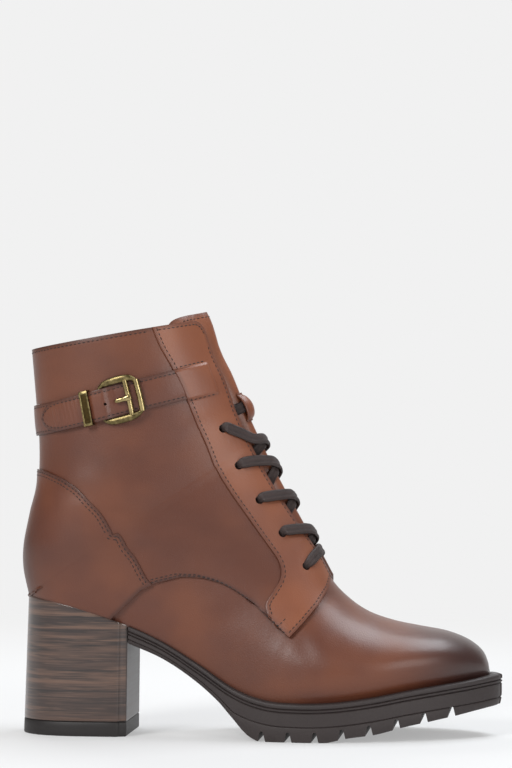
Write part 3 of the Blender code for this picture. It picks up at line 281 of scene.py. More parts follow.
# %% Sections up the leg
# Rows up the leg and down over the instep, each a flat section through the boot that
# holds a point of the back or the feather line and a point of the front ridge.
# along: shares of FOOT_LENGTH from the heel curve; up: shares of the shaft height above
# the heel seat, or of the drop from the heel seat to the ball where they are below zero;
# widths: shares of SHAFT_WIDTH; seat widths: shares of HEEL_SEAT_WIDTH.
# back along, back up, front along, front up, outer, inner, seat outer, seat inner,
# height share of the widest point, fullness below it, fullness above it
SHAFT_ROWS = (
    (0.013, 1.179, 0.386, 1.277, 0.507, 0.507, 0.000, 0.000, 0.50, 2.15, 1.85),
    (0.020, 1.001, 0.405, 1.126, 0.501, 0.501, 0.000, 0.000, 0.50, 2.15, 1.85),
    (0.029, 0.798, 0.428, 0.993, 0.493, 0.493, 0.000, 0.000, 0.49, 2.15, 1.85),
    (0.036, 0.619, 0.451, 0.904, 0.487, 0.487, 0.000, 0.000, 0.47, 2.15, 1.85),
    (0.034, 0.454, 0.468, 0.825, 0.481, 0.481, 0.000, 0.000, 0.44, 2.2, 1.85),
    (0.020, 0.335, 0.477, 0.777, 0.482, 0.482, 0.000, 0.000, 0.41, 2.2, 1.85),
    (0.007, 0.215, 0.488, 0.733, 0.487, 0.487, 0.000, 0.000, 0.38, 2.2, 1.85),
    (0.006, 0.111, 0.498, 0.691, 0.487, 0.487, 0.000, 0.000, 0.36, 2.2, 1.85),
    (0.018, 0.000, 0.509, 0.646, 0.478, 0.475, 0.000, 0.000, 0.34, 2.2, 1.85),
    (0.025, -0.004, 0.514, 0.628, 0.475, 0.472, 0.166, 0.166, 0.34, 2.2, 1.85),
    (0.045, -0.019, 0.519, 0.607, 0.472, 0.470, 0.308, 0.308, 0.33, 2.2, 1.85),
    (0.075, -0.045, 0.525, 0.583, 0.470, 0.467, 0.410, 0.410, 0.33, 2.2, 1.85),
    (0.129, -0.105, 0.537, 0.537, 0.472, 0.466, 0.476, 0.476, 0.32, 2.2, 1.85),
    (0.219, -0.237, 0.554, 0.474, 0.478, 0.463, 0.490, 0.474, 0.31, 2.2, 1.85),
    (0.305, -0.407, 0.578, 0.390, 0.493, 0.463, 0.513, 0.426, 0.31, 2.2, 1.85),
    (0.391, -0.637, 0.609, 0.284, 0.525, 0.478, 0.574, 0.411, 0.31, 2.2, 1.85),
    (0.470, -0.866, 0.640, 0.171, 0.579, 0.510, 0.660, 0.494, 0.31, 2.2, 1.85),
)

# %% Sections over the forefoot
# Rows over the forefoot. along: shares of FOOT_LENGTH; base up: shares of TOE_RISE above
# the ball; rise: shares of VAMP_HEIGHT above the base; widths: shares of BALL_WIDTH.
# back along, base up, front along, rise, outer, inner, seat outer, seat inner,
# height share of the widest point, fullness below it, fullness above it
FOOT_ROWS = (
    (0.540, 0.099, 0.667, 1.000, 0.495, 0.433, 0.459, 0.386, 0.31, 2.2, 1.85),
    (0.611, 0.000, 0.703, 0.861, 0.526, 0.474, 0.485, 0.444, 0.31, 2.2, 1.87),
    (0.681, 0.046, 0.745, 0.735, 0.530, 0.500, 0.481, 0.465, 0.31, 2.2, 1.90),
    (0.755, 0.229, 0.797, 0.621, 0.502, 0.500, 0.448, 0.448, 0.32, 2.2, 1.95),
    (0.826, 0.481, 0.851, 0.521, 0.445, 0.463, 0.391, 0.407, 0.34, 2.2, 2.05),
    (0.892, 0.679, 0.906, 0.437, 0.366, 0.402, 0.314, 0.349, 0.36, 2.2, 2.15),
    (0.939, 0.809, 0.945, 0.353, 0.284, 0.333, 0.235, 0.286, 0.38, 2.2, 2.20),
    (0.969, 0.901, 0.970, 0.273, 0.205, 0.263, 0.163, 0.216, 0.39, 2.2, 2.20),
    (0.988, 0.962, 0.987, 0.192, 0.130, 0.191, 0.100, 0.149, 0.40, 2.2, 2.20),
    (0.998, 0.985, 0.996, 0.106, 0.065, 0.112, 0.049, 0.079, 0.40, 2.2, 2.20),
    (1.000, 0.992, 0.999, 0.050, 0.026, 0.042, 0.019, 0.030, 0.40, 2.2, 2.20),
    (1.001, 1.000, 1.001, 0.012, 0.008, 0.010, 0.006, 0.008, 0.40, 2.2, 2.20),
)

# %% Places along the rows
COLLAR_ROW = 1
CORNER_ROW = 8
BREAST_ROW = 13
LAST_ROW = len(SHAFT_ROWS) + len(FOOT_ROWS) - 1
TOUCH = 1e-6

OUTER = -1.0
INNER = 1.0
print("rows:", LAST_ROW + 1)

# %% [markdown]
# Between the rows a smooth curve runs through every value, and in each section two
# superellipses, one below the widest point and one above it, give the round belly.
# A place on the last is then two numbers: the row s, and the share t of the way from
# the sole or the back up to the front ridge.

# %% Points of the last
def smooth(x):
    x = np.clip(x, 0.0, 1.0)
    return x * x * (3.0 - 2.0 * x)


def last_table():
    """Every row in metres: base x, z, ridge x, z, widths, seat widths, belly, fullness."""
    shaft_rise = COLLAR_HEIGHT - HEEL_SEAT_HEIGHT
    drop = HEEL_SEAT_HEIGHT - BALL_HEIGHT
    table = []
    for row in SHAFT_ROWS:
        back, back_up, front, front_up = row[:4]
        table.append((
            back * FOOT_LENGTH - HEEL_BACK,
            HEEL_SEAT_HEIGHT + back_up * (shaft_rise if back_up > 0 else drop),
            front * FOOT_LENGTH - HEEL_BACK,
            HEEL_SEAT_HEIGHT + front_up * shaft_rise,
            row[4] * SHAFT_WIDTH,
            row[5] * SHAFT_WIDTH,
            row[6] * HEEL_SEAT_WIDTH,
            row[7] * HEEL_SEAT_WIDTH,
        ) + row[8:])
    for row in FOOT_ROWS:
        base = BALL_HEIGHT + row[1] * TOE_RISE
        table.append((
            row[0] * FOOT_LENGTH - HEEL_BACK,
            base,
            row[2] * FOOT_LENGTH - HEEL_BACK,
            base + row[3] * VAMP_HEIGHT,
            row[4] * BALL_WIDTH,
            row[5] * BALL_WIDTH,
            row[6] * BALL_WIDTH,
            row[7] * BALL_WIDTH,
        ) + row[8:])
    return np.array(table)


LAST = last_table()


def through(values, s):
    """A smooth curve through the rows of values, read at the positions s."""
    n = len(values)
    i = np.clip(np.floor(s).astype(int), 0, n - 2)
    f = (s - i)[:, None]
    v = np.vstack([2 * values[0] - values[1], values, 2 * values[-1] - values[-2]])
    p0, p1, p2, p3 = v[i], v[i + 1], v[i + 2], v[i + 3]
    bend = 2 * p0 - 5 * p1 + 4 * p2 - p3 + f * (3 * (p1 - p2) + p3 - p0)
    return p1 + 0.5 * f * (p2 - p0 + f * bend)


def rows_at(s):
    """The last's values at the positions s. The base line turns a corner at the heel."""
    rows = through(LAST, s)
    for columns in ((0, 1), (6, 7)):
        c = list(columns)
        above = through(LAST[:CORNER_ROW + 1, c], np.minimum(s, CORNER_ROW))
        below = through(LAST[CORNER_ROW:, c], np.maximum(s - CORNER_ROW, 0.0))
        rows[:, c] = np.where((s < CORNER_ROW)[:, None], above, below)
    return rows


def swing(x):
    """How far the middle of the forefoot moves to the inner side."""
    share = (x + HEEL_BACK) / FOOT_LENGTH
    return TOE_SWING * smooth((share - 0.6) / 0.4)


def half_sections(s, side):
    """Half sections at s: heights along the section and half widths, with arc shares."""
    r = rows_at(s)
    rise = np.hypot(r[:, 2] - r[:, 0], r[:, 3] - r[:, 1])[:, None]
    wide = np.where(side < 0, r[:, 4], r[:, 5])[:, None]
    seat = np.where(side < 0, r[:, 6], r[:, 7])[:, None]
    seat = np.clip(seat, 0.0, 0.97 * wide)
    belly = r[:, 8][:, None] * rise
    low, high = r[:, 9][:, None], r[:, 10][:, None]
    cut = (1.0 - (seat / wide) ** low) ** (1.0 / low)
    start = np.arcsin(np.clip(cut ** (low / 2.0), 0.0, 1.0))
    turn = start * (1.0 - np.linspace(0.0, 1.0, 21)[None, :])
    h_low = belly * (1.0 - np.sin(turn) ** (2.0 / low) / cut)
    y_low = wide * np.cos(turn) ** (2.0 / low)
    turn = 0.5 * math.pi * np.linspace(0.0, 1.0, 33)[None, 1:]
    h_high = belly + (rise - belly) * np.sin(turn) ** (2.0 / high)
    y_high = wide * np.maximum(np.cos(turn), 0.0) ** (2.0 / high)
    h = np.hstack([h_low, h_high])
    y = np.hstack([y_low, y_high])
    y[:, -1] = 0.0
    arc = np.hypot(np.diff(h, axis=1), np.diff(y, axis=1)).cumsum(axis=1)
    arc = np.hstack([np.zeros((len(s), 1)), arc])
    return r, rise[:, 0], h, y, arc


def on_last(s, t, side):
    """Points of the last: s is the row, t runs from the base line (0) to the ridge (1)."""
    s, t = np.broadcast_arrays(np.asarray(s, float), np.asarray(t, float))
    shape = s.shape
    s, t = s.ravel(), t.ravel()
    side = np.full(len(s), float(side))
    over = (t > 1.0) | ((t < 0.0) & (s <= CORNER_ROW + TOUCH))
    side = np.where(over, -side, side)
    t = np.where(t > 1.0, 2.0 - t, np.abs(t))
    r, rise, h, y, arc = half_sections(s, side)
    want = t * arc[:, -1]
    k = np.clip((arc < want[:, None]).sum(axis=1) - 1, 0, arc.shape[1] - 2)
    n = np.arange(len(s))
    f = (want - arc[n, k]) / (arc[n, k + 1] - arc[n, k])
    height = h[n, k] + f * (h[n, k + 1] - h[n, k])
    half = y[n, k] + f * (y[n, k + 1] - y[n, k])
    share = height / rise
    x = r[:, 0] + share * (r[:, 2] - r[:, 0])
    z = r[:, 1] + share * (r[:, 3] - r[:, 1])
    across = swing(x) + side * half
    return np.stack([x, across, z], axis=1).reshape(shape + (3,))


def section_arc(s, side):
    """Length of the half section at s, from the base line to the ridge."""
    s = np.atleast_1d(np.asarray(s, float))
    return half_sections(s, np.full(len(s), float(side)))[4][:, -1]


def outward(s, t, side):
    """Unit normals of the last."""
    s, t = np.broadcast_arrays(np.asarray(s, float), np.asarray(t, float))
    ds, dt = 0.03, 0.006
    past = s > CORNER_ROW + TOUCH
    low_s = np.where(past & (s < CORNER_ROW + ds), s, s - ds)
    low_t = np.where(past & (t < dt), t, t - dt)
    along = on_last(np.minimum(s + ds, LAST_ROW), t, side)
    along = along - on_last(np.maximum(low_s, 0.0), t, side)
    around = on_last(s, t + dt, side) - on_last(s, low_t, side)
    n = np.cross(around, along) * float(side)
    n /= np.linalg.norm(n, axis=-1, keepdims=True)
    reach = 0.5 * (section_arc(s.ravel(), OUTER) + section_arc(s.ravel(), INNER))
    reach = t * reach.reshape(s.shape)
    upright = (1.0 - smooth(reach / SEAT_TURN)) * smooth((s - CORNER_ROW + 0.6) / 0.6)
    n[..., 2] *= 1.0 - upright
    n /= np.linalg.norm(n, axis=-1, keepdims=True)
    return n


def skin(s, t, side, height):
    """Points that lie at a height above the last."""
    height = np.broadcast_to(np.asarray(height, float), np.broadcast(s, t).shape)
    return on_last(s, t, side) + outward(s, t, side) * height[..., None]

print("length of the last:", round(float(LAST[-1, 0] - LAST[:, 0].min()), 4))

# %% [markdown]
# ## Seams and edges
# The pattern cutter's lines: the lower edge of the quarters, the edge of the heel
# counter, the rear edge of the eyelet facing, the throat and the row of eyelets. Each is
# a table of places on the last.

# %% Seams
# The quarters' lower seam, where the vamp begins: position along the rows, share of the
# half section, and the column of the shaft's grid that runs down to it.
QUARTER_SEAM = (
    (12.85, 0.000, 0.00), (12.80, 0.194, 0.20), (12.93, 0.254, 0.26), (13.30, 0.330, 0.33),
    (13.75, 0.374, 0.375), (14.28, 0.407, 0.41), (14.70, 0.420, 0.44), (15.28, 0.426, 0.47),
    (15.95, 0.418, 0.50), (16.73, 0.390, 0.53), (16.90, 0.506, 0.60), (17.04, 0.646, 0.73),
    (17.02, 0.804, 0.87), (16.80, 0.930, 1.00),
)
# Seams across that grid: share of the way down, column. Heel counter, then facing.
COUNTER_SEAM = (
    (0.221, 0.000), (0.222, 0.050), (0.226, 0.096), (0.234, 0.140), (0.246, 0.180),
    (0.268, 0.235), (0.297, 0.287), (0.359, 0.375), (0.428, 0.438), (0.517, 0.458),
    (0.591, 0.442), (0.673, 0.416), (0.754, 0.388), (0.828, 0.360), (0.877, 0.338),
    (0.918, 0.310), (0.959, 0.276), (1.000, 0.243),
)
FACING_SEAM = (
    (0.000, 0.742), (0.030, 0.757), (0.075, 0.788), (0.148, 0.808), (0.221, 0.828),
    (0.295, 0.845), (0.369, 0.853), (0.443, 0.853), (0.517, 0.844), (0.591, 0.834),
    (0.673, 0.822), (0.754, 0.799), (0.828, 0.774), (0.858, 0.762), (0.878, 0.748),
    (0.893, 0.722), (0.904, 0.680), (0.911, 0.610), (0.922, 0.550), (0.950, 0.520),
    (0.972, 0.503), (1.000, 0.483),
)
# The throat: position along the rows, shares of THROAT_HALF_GAP from the ridge
THROAT_HALF_GAP = 0.0115
THROAT_EDGE = (
    (0.0, 1.10), (1.0, 1.09), (5.0, 1.00), (10.0, 0.93), (14.5, 0.96), (15.4, 0.87),
    (16.4, 0.56), (17.0, 0.52), (18.0, 0.50),
)
COLLAR_CORNER = 0.007

# %% Eyelets, strap and tongue
# Eyelets and lace
EYELET_LINE = 0.023
EYELET_PITCH = 0.0219
EYELET_COUNT = 5
EYELET_END = 15.85
LACE_WIDTH = 0.0062
LACE_ROOM = 0.0018
TUCK_SHIFT = 0.32
TOP_LACE_SHIFT = 0.1
# The strap's middle line: column of the shaft's grid, position along the rows
STRAP_LINE = (
    (0.00, 2.48), (0.10, 2.49), (0.20, 2.54), (0.33, 2.60), (0.46, 2.65), (0.59, 2.69),
    (0.78, 2.81), (0.94, 2.91), (1.00, 2.95),
)
STRAP_WIDTH = 0.0165
STRAP_LEATHER = 0.0014
STRAP_BUCKLE = 0.537
STRAP_END = 0.945
STRAP_TIP = 0.0480
STRAP_TIP_LENGTH = 0.015
BUCKLE_LENGTH = 0.0240
BUCKLE_BAR = 0.0024
BUCKLE_INNER_BAR = 0.0054
KEEPER_PLACE = 0.0184
KEEPER_WIDTH = 0.0046
KEEPER_METAL = 0.0010
# Tongue and its lace loop, placed along the ridge
TONGUE_THICKNESS = 0.0026
TONGUE_RISE = 0.0045
TONGUE_HALF_WIDTH = 0.031
TONGUE_END = 17.6
LOOP_TOP = 4.15
LOOP_FOOT = 6.35
LOOP_WIDTH = 0.0100
LOOP_LEATHER = 0.0010

# %% Helpers for the edges
def linear(table, x, columns=(0, 1)):
    """Values between the rows of a table."""
    table = np.array(table)
    return np.interp(x, table[:, columns[0]], table[:, columns[1]])


def ground(s):
    """Height of the vamp and lining over the last: sunk where the quarters cover it."""
    cover = 1.0 - smooth((np.asarray(s, float) - 13.0) / 5.0)
    return -(PIECE_GAP + QUARTER_LEATHER) * cover


def from_ridge(s, distance, side):
    """Share of the half section that lies at a distance from the ridge."""
    s = np.asarray(s, float)
    return 1.0 - distance / section_arc(s.ravel(), side).reshape(s.shape)


def throat(s, side):
    """Share of the half section at which the throat's edge lies."""
    return from_ridge(s, THROAT_HALF_GAP * linear(THROAT_EDGE, s), side)


def collar(t, side):
    """Row of the collar's edge, with its front corner rounded."""
    edge = float(throat(np.array([1.0]), side)[0])
    corner = COLLAR_CORNER / float(section_arc([1.0], side)[0])
    a = np.clip((np.asarray(t, float) - (edge - corner)) / corner, 0.0, 1.0)
    step = np.linalg.norm(LAST[COLLAR_ROW + 1, 2:4] - LAST[COLLAR_ROW, 2:4])
    return COLLAR_ROW + COLLAR_CORNER / step * (1.0 - np.sqrt(1.0 - 0.98 * a * a))


def shaft_place(down, column, side):
    """A place on the shaft's grid: share of the way down from the collar, column."""
    down, column = np.broadcast_arrays(np.asarray(down, float), np.asarray(column, float))
    edge = throat(np.array([1.0]), side)[0]
    top = collar(edge * column, side)
    foot_s = linear(QUARTER_SEAM, column, (2, 0))
    foot_t = linear(QUARTER_SEAM, column, (2, 1))
    s = top + down * (foot_s - top)
    blend = down ** 8
    return s, throat(s, side) * column * (1.0 - blend) + foot_t * blend


def eyelets(side):
    """Positions of the eyelets, counted up from the lowest."""
    s = np.linspace(EYELET_END, 1.0, 400)
    t = from_ridge(s, EYELET_LINE, side)
    path = on_last(s, t, side)
    length = np.concatenate([[0.0], np.linalg.norm(np.diff(path, axis=0), axis=1).cumsum()])
    places = np.interp(np.arange(EYELET_COUNT) * EYELET_PITCH, length, s)
    return places


def tongue_height(s, t, side):
    """Outer face of the tongue: low under the facings, risen to the ridge between them."""
    low = ground(s) - UPPER_WALL - LACE_ROOM
    edge = throat(np.minimum(s, 17.0), side)
    rise = smooth((t - edge) / (1.0 - edge)) * (1.0 - smooth((s - 15.2) / 1.5))
    return low * (1.0 - rise)


def strap_middle(side=OUTER):
    """Columns and rows of the strap's middle line, with lengths from its buckle."""
    column = np.linspace(0.0, 1.0, 201)
    s = linear(STRAP_LINE, column)
    path = on_last(s, throat(s, side) * column, side)
    length = np.concatenate([[0.0], np.linalg.norm(np.diff(path, axis=0), axis=1).cumsum()])
    return column, s, length - np.interp(STRAP_BUCKLE, column, length)


def strap_row(column, across, side):
    """Place on the last at a column of the shaft's grid and a distance across the strap."""
    column, across = np.broadcast_arrays(np.asarray(column, float), np.asarray(across, float))
    s = linear(STRAP_LINE, column)
    t = throat(s, side) * column
    step = on_last(s + 0.05, t, side) - on_last(s - 0.05, t, side)
    s = s - across / (np.linalg.norm(step, axis=-1) / 0.1)
    return s, throat(s, side) * column


def strap_point(along, across, height):
    column, _, length = strap_middle()
    s, t = strap_row(np.interp(along, length, column), across, OUTER)
    return skin(s, t, OUTER, height), outward(s, t, OUTER)


def linear_smooth(table, x):
    """Values on a smooth curve through a table of pairs."""
    table = np.array(table)
    place = np.interp(x, table[:, 0], np.arange(len(table)))
    return through(table[:, 1:], place.ravel()).reshape(np.shape(x))


def seam_at(table, down):
    """The column of a seam's smooth curve at a share of the way down."""
    curve = through(np.array(table), np.linspace(0.0, len(table) - 1.0, 40 * len(table)))
    return np.interp(down, curve[:, 0], curve[:, 1])


QUARTER_TOP = PIECE_GAP + QUARTER_LEATHER
# An overlay is this thick, less a hair where it lies on the quarters
OVERLAY = 0.0011
OVERLAY_WALL = OVERLAY - 0.00002
OVERLAY_TOP = QUARTER_TOP + OVERLAY
print("eyelets at rows", np.round(eyelets(OUTER), 2))

# %% [markdown]
# ## Soft creases
# Leather that was pulled over a last and stood in a box is never quite even. Each line
# here is one soft trough with a low ridge beside it: the side it is on, its middle in
# the side view, the way it runs, its half length, half width and depth. They are put
# where such a boot folds: round the ankle, under the flap, over the ball, at the heel.

# %% Creases in the boot's own sizes
CREASES = (
    (OUTER, 0.020, 0.128, -12.0, 0.034, 0.0050, 0.00030),
    (OUTER, 0.034, 0.107, -22.0, 0.030, 0.0055, 0.00034),
    (OUTER, 0.052, 0.092, -35.0, 0.026, 0.0050, 0.00026),
    (OUTER, -0.006, 0.112, 6.0, 0.020, 0.0060, 0.00024),
    (OUTER, 0.018, 0.170, 70.0, 0.022, 0.0070, 0.00018),
    (OUTER, 0.119, 0.047, 66.0, 0.012, 0.0016, 0.00016),
    (OUTER, 0.113, 0.049, 72.0, 0.010, 0.0014, 0.00012),
    (OUTER, 0.131, 0.050, 118.0, 0.016, 0.0035, 0.00022),
    (OUTER, 0.150, 0.048, 112.0, 0.018, 0.0045, 0.00022),
    (OUTER, 0.080, 0.060, 30.0, 0.024, 0.0060, 0.00026),
    (INNER, 0.022, 0.126, -14.0, 0.032, 0.0050, 0.00032),
    (INNER, 0.036, 0.104, -24.0, 0.032, 0.0055, 0.00034),
    (INNER, 0.056, 0.088, -34.0, 0.024, 0.0050, 0.00026),
    (INNER, 0.134, 0.050, 114.0, 0.018, 0.0038, 0.00024),
    (INNER, 0.153, 0.047, 110.0, 0.017, 0.0045, 0.00020),
    (INNER, 0.082, 0.062, 28.0, 0.026, 0.0060, 0.00026),
)


def relief(points, side):
    """How far the leather moves out (or in, below zero) at points of the last."""
    lift = np.zeros(points.shape[:-1])
    for crease_side, x, z, turn, long, wide, deep in CREASES:
        if crease_side != side:
            continue
        a = math.radians(turn)
        dx, dz = points[..., 0] - x, points[..., 2] - z
        along = (dx * math.cos(a) + dz * math.sin(a)) / long
        across = (dz * math.cos(a) - dx * math.sin(a)) / wide
        trough = np.exp(-across ** 2) - 0.45 * np.exp(-(across - 1.8) ** 2)
        lift -= deep * trough * np.exp(-along ** 2)
    return lift


def dressed(s, t, side, height):
    """Points of a leather at a height above the last, creases and all, and its normals."""
    base, out = on_last(s, t, side), outward(s, t, side)
    up = np.broadcast_to(height, base.shape[:-1]) + relief(base, side)
    return base + out * up[..., None], out


print("creases:", len(CREASES))

# %% [markdown]
# ## Laying a sheet
# A flat grid is added, and its corners are then moved onto the last: the grid's own
# x and y, both from 0 to 1, say where on the pattern a corner lies. Two halves are sewn
# into one piece by merging the corners that meet at the back and on the ridge.

# %% Grids and sewing
def select_only(*pieces):
    bpy.ops.object.select_all(action="DESELECT")
    for piece in pieces:
        piece.select_set(True)
    bpy.context.view_layer.objects.active = pieces[0]


def in_edit(piece, *steps):
    """Runs edit mode operators on the whole of a piece."""
    select_only(piece)
    bpy.ops.object.mode_set(mode="EDIT")
    bpy.ops.mesh.select_all(action="SELECT")
    for step in steps:
        step()
    bpy.ops.object.mode_set(mode="OBJECT")


def corners(piece):
    flat = np.zeros(len(piece.data.vertices) * 3)
    piece.data.vertices.foreach_get("co", flat)
    return flat.reshape(-1, 3)


def new_grid(name, columns, rows):
    bpy.ops.object.select_all(action="DESELECT")
    bpy.ops.mesh.primitive_grid_add(x_subdivisions=columns, y_subdivisions=rows, size=1.0,
                                    location=(0.5, 0.5, 0.0))
    piece = bpy.context.object
    bpy.ops.object.transform_apply()
    piece.name = name
    flat = corners(piece)
    return piece, np.clip(flat[:, 0], 0.0, 1.0), np.clip(flat[:, 1], 0.0, 1.0)


def lay(piece, points, out):
    """Moves the grid's corners to their points, with its faces turned the way out points."""
    piece.data.vertices.foreach_set("co", np.asarray(points, float).ravel())
    piece.data.update()
    turn = np.zeros(len(piece.data.vertices) * 3)
    piece.data.vertex_normals.foreach_get("vector", turn)
    if (turn.reshape(-1, 3) * out).sum() < 0:
        in_edit(piece, bpy.ops.mesh.flip_normals)
    return piece


def sew(pieces, name, reach=2e-5):
    """Joins sheets into one and merges the corners that meet."""
    select_only(*pieces)
    if len(pieces) > 1:
        bpy.ops.object.join()
    made = bpy.context.object
    made.name = name
    in_edit(made, lambda: bpy.ops.mesh.remove_doubles(threshold=reach))
    return made


def apply_all(piece):
    select_only(piece)
    for modifier in list(piece.modifiers):
        bpy.ops.object.modifier_apply(modifier=modifier.name)


def smooth_shade(piece, angle=40.0):
    select_only(piece)
    bpy.ops.object.shade_smooth_by_angle(angle=math.radians(angle))


# %% [markdown]
# A sheet has no thickness yet. Solidify gives it one, towards the inside, and puts the
# lining and the cut edge on materials of their own. A narrow bevel takes the sharpness
# off the cut edge, as the trimmer's knife and a little wax do.

# %% Thickness, edges and distances
def thicken(piece, wall, edge=0.00028, inner=0, rim=1):
    solid = piece.modifiers.new("wall", "SOLIDIFY")
    solid.thickness = wall
    solid.offset = -1.0
    solid.material_offset = inner
    solid.material_offset_rim = rim
    if edge:
        soft = piece.modifiers.new("edge", "BEVEL")
        soft.limit_method = "ANGLE"
        soft.angle_limit = math.radians(60.0)
        soft.width = edge
        soft.segments = 2
    apply_all(piece)
    smooth_shade(piece)
    return piece


def note_rim(piece, extra=()):
    """Writes each corner's distance to the sheet's own edge, in millimetres, as rim."""
    mesh = piece.data
    uses = {}
    for face in mesh.polygons:
        for key in face.edge_keys:
            uses[key] = uses.get(key, 0) + 1
    points = corners(piece)
    edge = [(points[a] + points[b]) / 2 for (a, b), n in uses.items() if n == 1]
    edge += [points[a] for (a, b), n in uses.items() if n == 1] + list(extra)
    tree = KDTree(len(edge))
    for k, point in enumerate(edge):
        tree.insert(point, k)
    tree.balance()
    reach = [tree.find(point)[2] / MM for point in points]
    mesh.attributes.new("rim", "FLOAT", "POINT").data.foreach_set("value", reach)


def finish_piece(piece, nodes, slot, *materials):
    """Gives a piece its finishes and its body, and hides the solids that it stands for."""
    piece.data.materials.clear()
    for material in materials:
        piece.data.materials.append(material)
    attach(piece, "root")
    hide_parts(*nodes)
    print(piece.name, len(piece.data.polygons), "faces for", ", ".join(nodes))


# %% [markdown]
# ## Leather
# The upper is smooth calf with a hand-burnished finish: a warm tan that clouds between
# red and orange, darker where it was rubbed with polish at the toe, the back of the heel
# and along the seams, and lighter on the facings. Fine pores break up the shine. The
# clouds are a large noise, the burnish follows the boot's own X and Z, and the pores are
# a bump of two small patterns. Cut edges are raw and light.

# %% Leather finish
def leather(name, plain, warm, dark, coat=0.26, rough=0.38):
    made = Finish(name, Coat_Roughness=0.26, Coat_Weight=coat)
    made.shader.inputs["Specular IOR Level"].default_value = 0.42
    x, z = made.axis(0), made.axis(2)
    clouds = made.noise(26.0, 2.0).between(0.36, 0.66)
    tone = clouds.mix(plain, warm)
    streaks = made.noise(9.0, 3.0, made.stretched(1.0, 1.0, 2.6)).between(0.45, 0.75)
    tone = (0.35 * streaks).mix(tone, dark)
    wobble = 0.016 * made.noise(38.0, 2.0)
    toe = (x + 0.25 * z + wobble).between(0.194, 0.238)
    heel = (0.0 - x + wobble).between(0.012, 0.034) * (0.115 - z + wobble).between(-0.02, 0.05)
    back = (0.0 - x).between(0.014, 0.027)
    low = (0.036 - z).between(0.0, 0.02) * (x - 0.16).between(0.0, 0.05)
    rim = made.attribute("rim")
    seam = (1.0 - rim.between(0.2, 3.0)) * 0.60
    tone = (0.80 * toe).mix(tone, colour(44, 31, 31))
    tone = (0.50 * heel).mix(tone, dark)
    tone = (0.30 * back).mix(tone, dark)
    tone = (0.25 * low).mix(tone, warm)
    tone = seam.mix(tone, dark)
    made.set("Base Color", tone)
    pores = made.noise(2400.0, 2.0)
    grain = made.cells(1500.0)
    fold = made.noise(240.0, 2.0, made.stretched(1.0, 1.0, 0.6))
    made.set("Roughness", rough + 0.12 * pores + 0.08 * clouds - 0.05 * toe)
    made.bump(0.6 * grain + 0.45 * pores + 0.8 * fold, 0.00011, 0.75)
    return made.material


tan = leather("tan_calf", colour(93, 49, 32), colour(106, 57, 34), colour(56, 30, 23))
light_tan = leather("light_tan_calf", colour(119, 67, 44), colour(132, 75, 46), colour(78, 42, 30))

# %% Cut edge, lining and thread
edge_finish = Finish("raw_edge", Roughness=0.62)
fibres = edge_finish.noise(900.0, 3.0)
edge_finish.set("Base Color", fibres.mix(colour(92, 54, 36), colour(142, 92, 62)))
edge_finish.bump(fibres, 0.00012, 0.6)
raw_edge = edge_finish.material

lining_finish = Finish("pigskin_lining", Roughness=0.7)
spots = lining_finish.cells(420.0)
tone = lining_finish.noise(40.0).mix(colour(128, 94, 70), colour(152, 116, 88))
lining_finish.set("Base Color", tone)
lining_finish.bump(spots, 0.00012, 0.5)
lining = lining_finish.material

thread_finish = Finish("dark_thread", Roughness=0.6)
thread_finish.set("Base Color", thread_finish.noise(2600.0).mix(colour(26, 15, 12), colour(56, 32, 25)))
thread_finish.bump(thread_finish.noise(5200.0), 0.00006, 0.5)
thread = thread_finish.material
print("leathers, edge, lining and thread are mixed")

# %% [markdown]
# ## Vamp and lining
# The vamp covers the forefoot and runs on under the quarters as the boot's inner wall,
# so it is one sheet from the toe to the collar. Its rows follow the last, and one row
# lies exactly on the corner of the heel, where the back turns under the foot. The edge
# under the foot is sunk a little into the sole and the heel, as it is when lasted.

# %% The grid's places
HALF_COLUMNS = 48
SHAFT_GRID_ROWS = 90
CORNER_SHARE = (CORNER_ROW - COLLAR_ROW) / (QUARTER_SEAM[0][0] - COLLAR_ROW)


def shaft_down(v):
    """The way down the shaft for a row of the grid: 0.6 of them lie above the corner."""
    return np.interp(v, [0.0, 0.6, 1.0], [0.0, CORNER_SHARE, 1.0])


THROAT_FOOT, THROAT_SHARE, _ = QUARTER_SEAM[-1]
EDGE_TUCK = 0.0012
INNER_CORNER = (CORNER_ROW - COLLAR_ROW) / (THROAT_FOOT - COLLAR_ROW)


def inner_place(u, v, side):
    """A place on the inner wall, whose lowest row passes through the throat's foot."""
    down = np.interp(v, [0.0, 0.5, 1.0], [0.0, INNER_CORNER, 1.0])
    top = collar(throat(np.array([1.0]), side)[0] * u, side)
    s = top + down * (THROAT_FOOT - top)
    return s, u * (throat(s, side) * (1.0 - down ** 8) + THROAT_SHARE * down ** 8)


def tucked_under(u, s, points, out):
    """Sinks the edge that turns under the foot."""
    points[:, 2] -= EDGE_TUCK * (u < 0.001) * smooth((s - CORNER_ROW) / 1.5)
    return points, out


# %% Vamp and inner wall
def vamp_half(side):
    low, u, v = new_grid("inner_shaft", HALF_COLUMNS, 100)
    s, t = inner_place(u, v, side)
    lay(low, *tucked_under(u, s, *dressed(s, t, side, ground(s))))
    front, u, v = new_grid("vamp", HALF_COLUMNS + 24, 90)
    column = np.interp(u, [0.0, 2.0 / 3.0, 1.0], [0.0, 1.0, 2.0])
    s = THROAT_FOOT + v * (LAST_ROW - THROAT_FOOT)
    t = THROAT_SHARE * np.minimum(column, 1.0) + (1.0 - THROAT_SHARE) * np.maximum(column - 1.0, 0.0)
    points, out = tucked_under(u, s, *dressed(s, t, side, ground(s)))
    points[v > 0.999] = TIP
    lay(front, points, out)
    return [low, front]


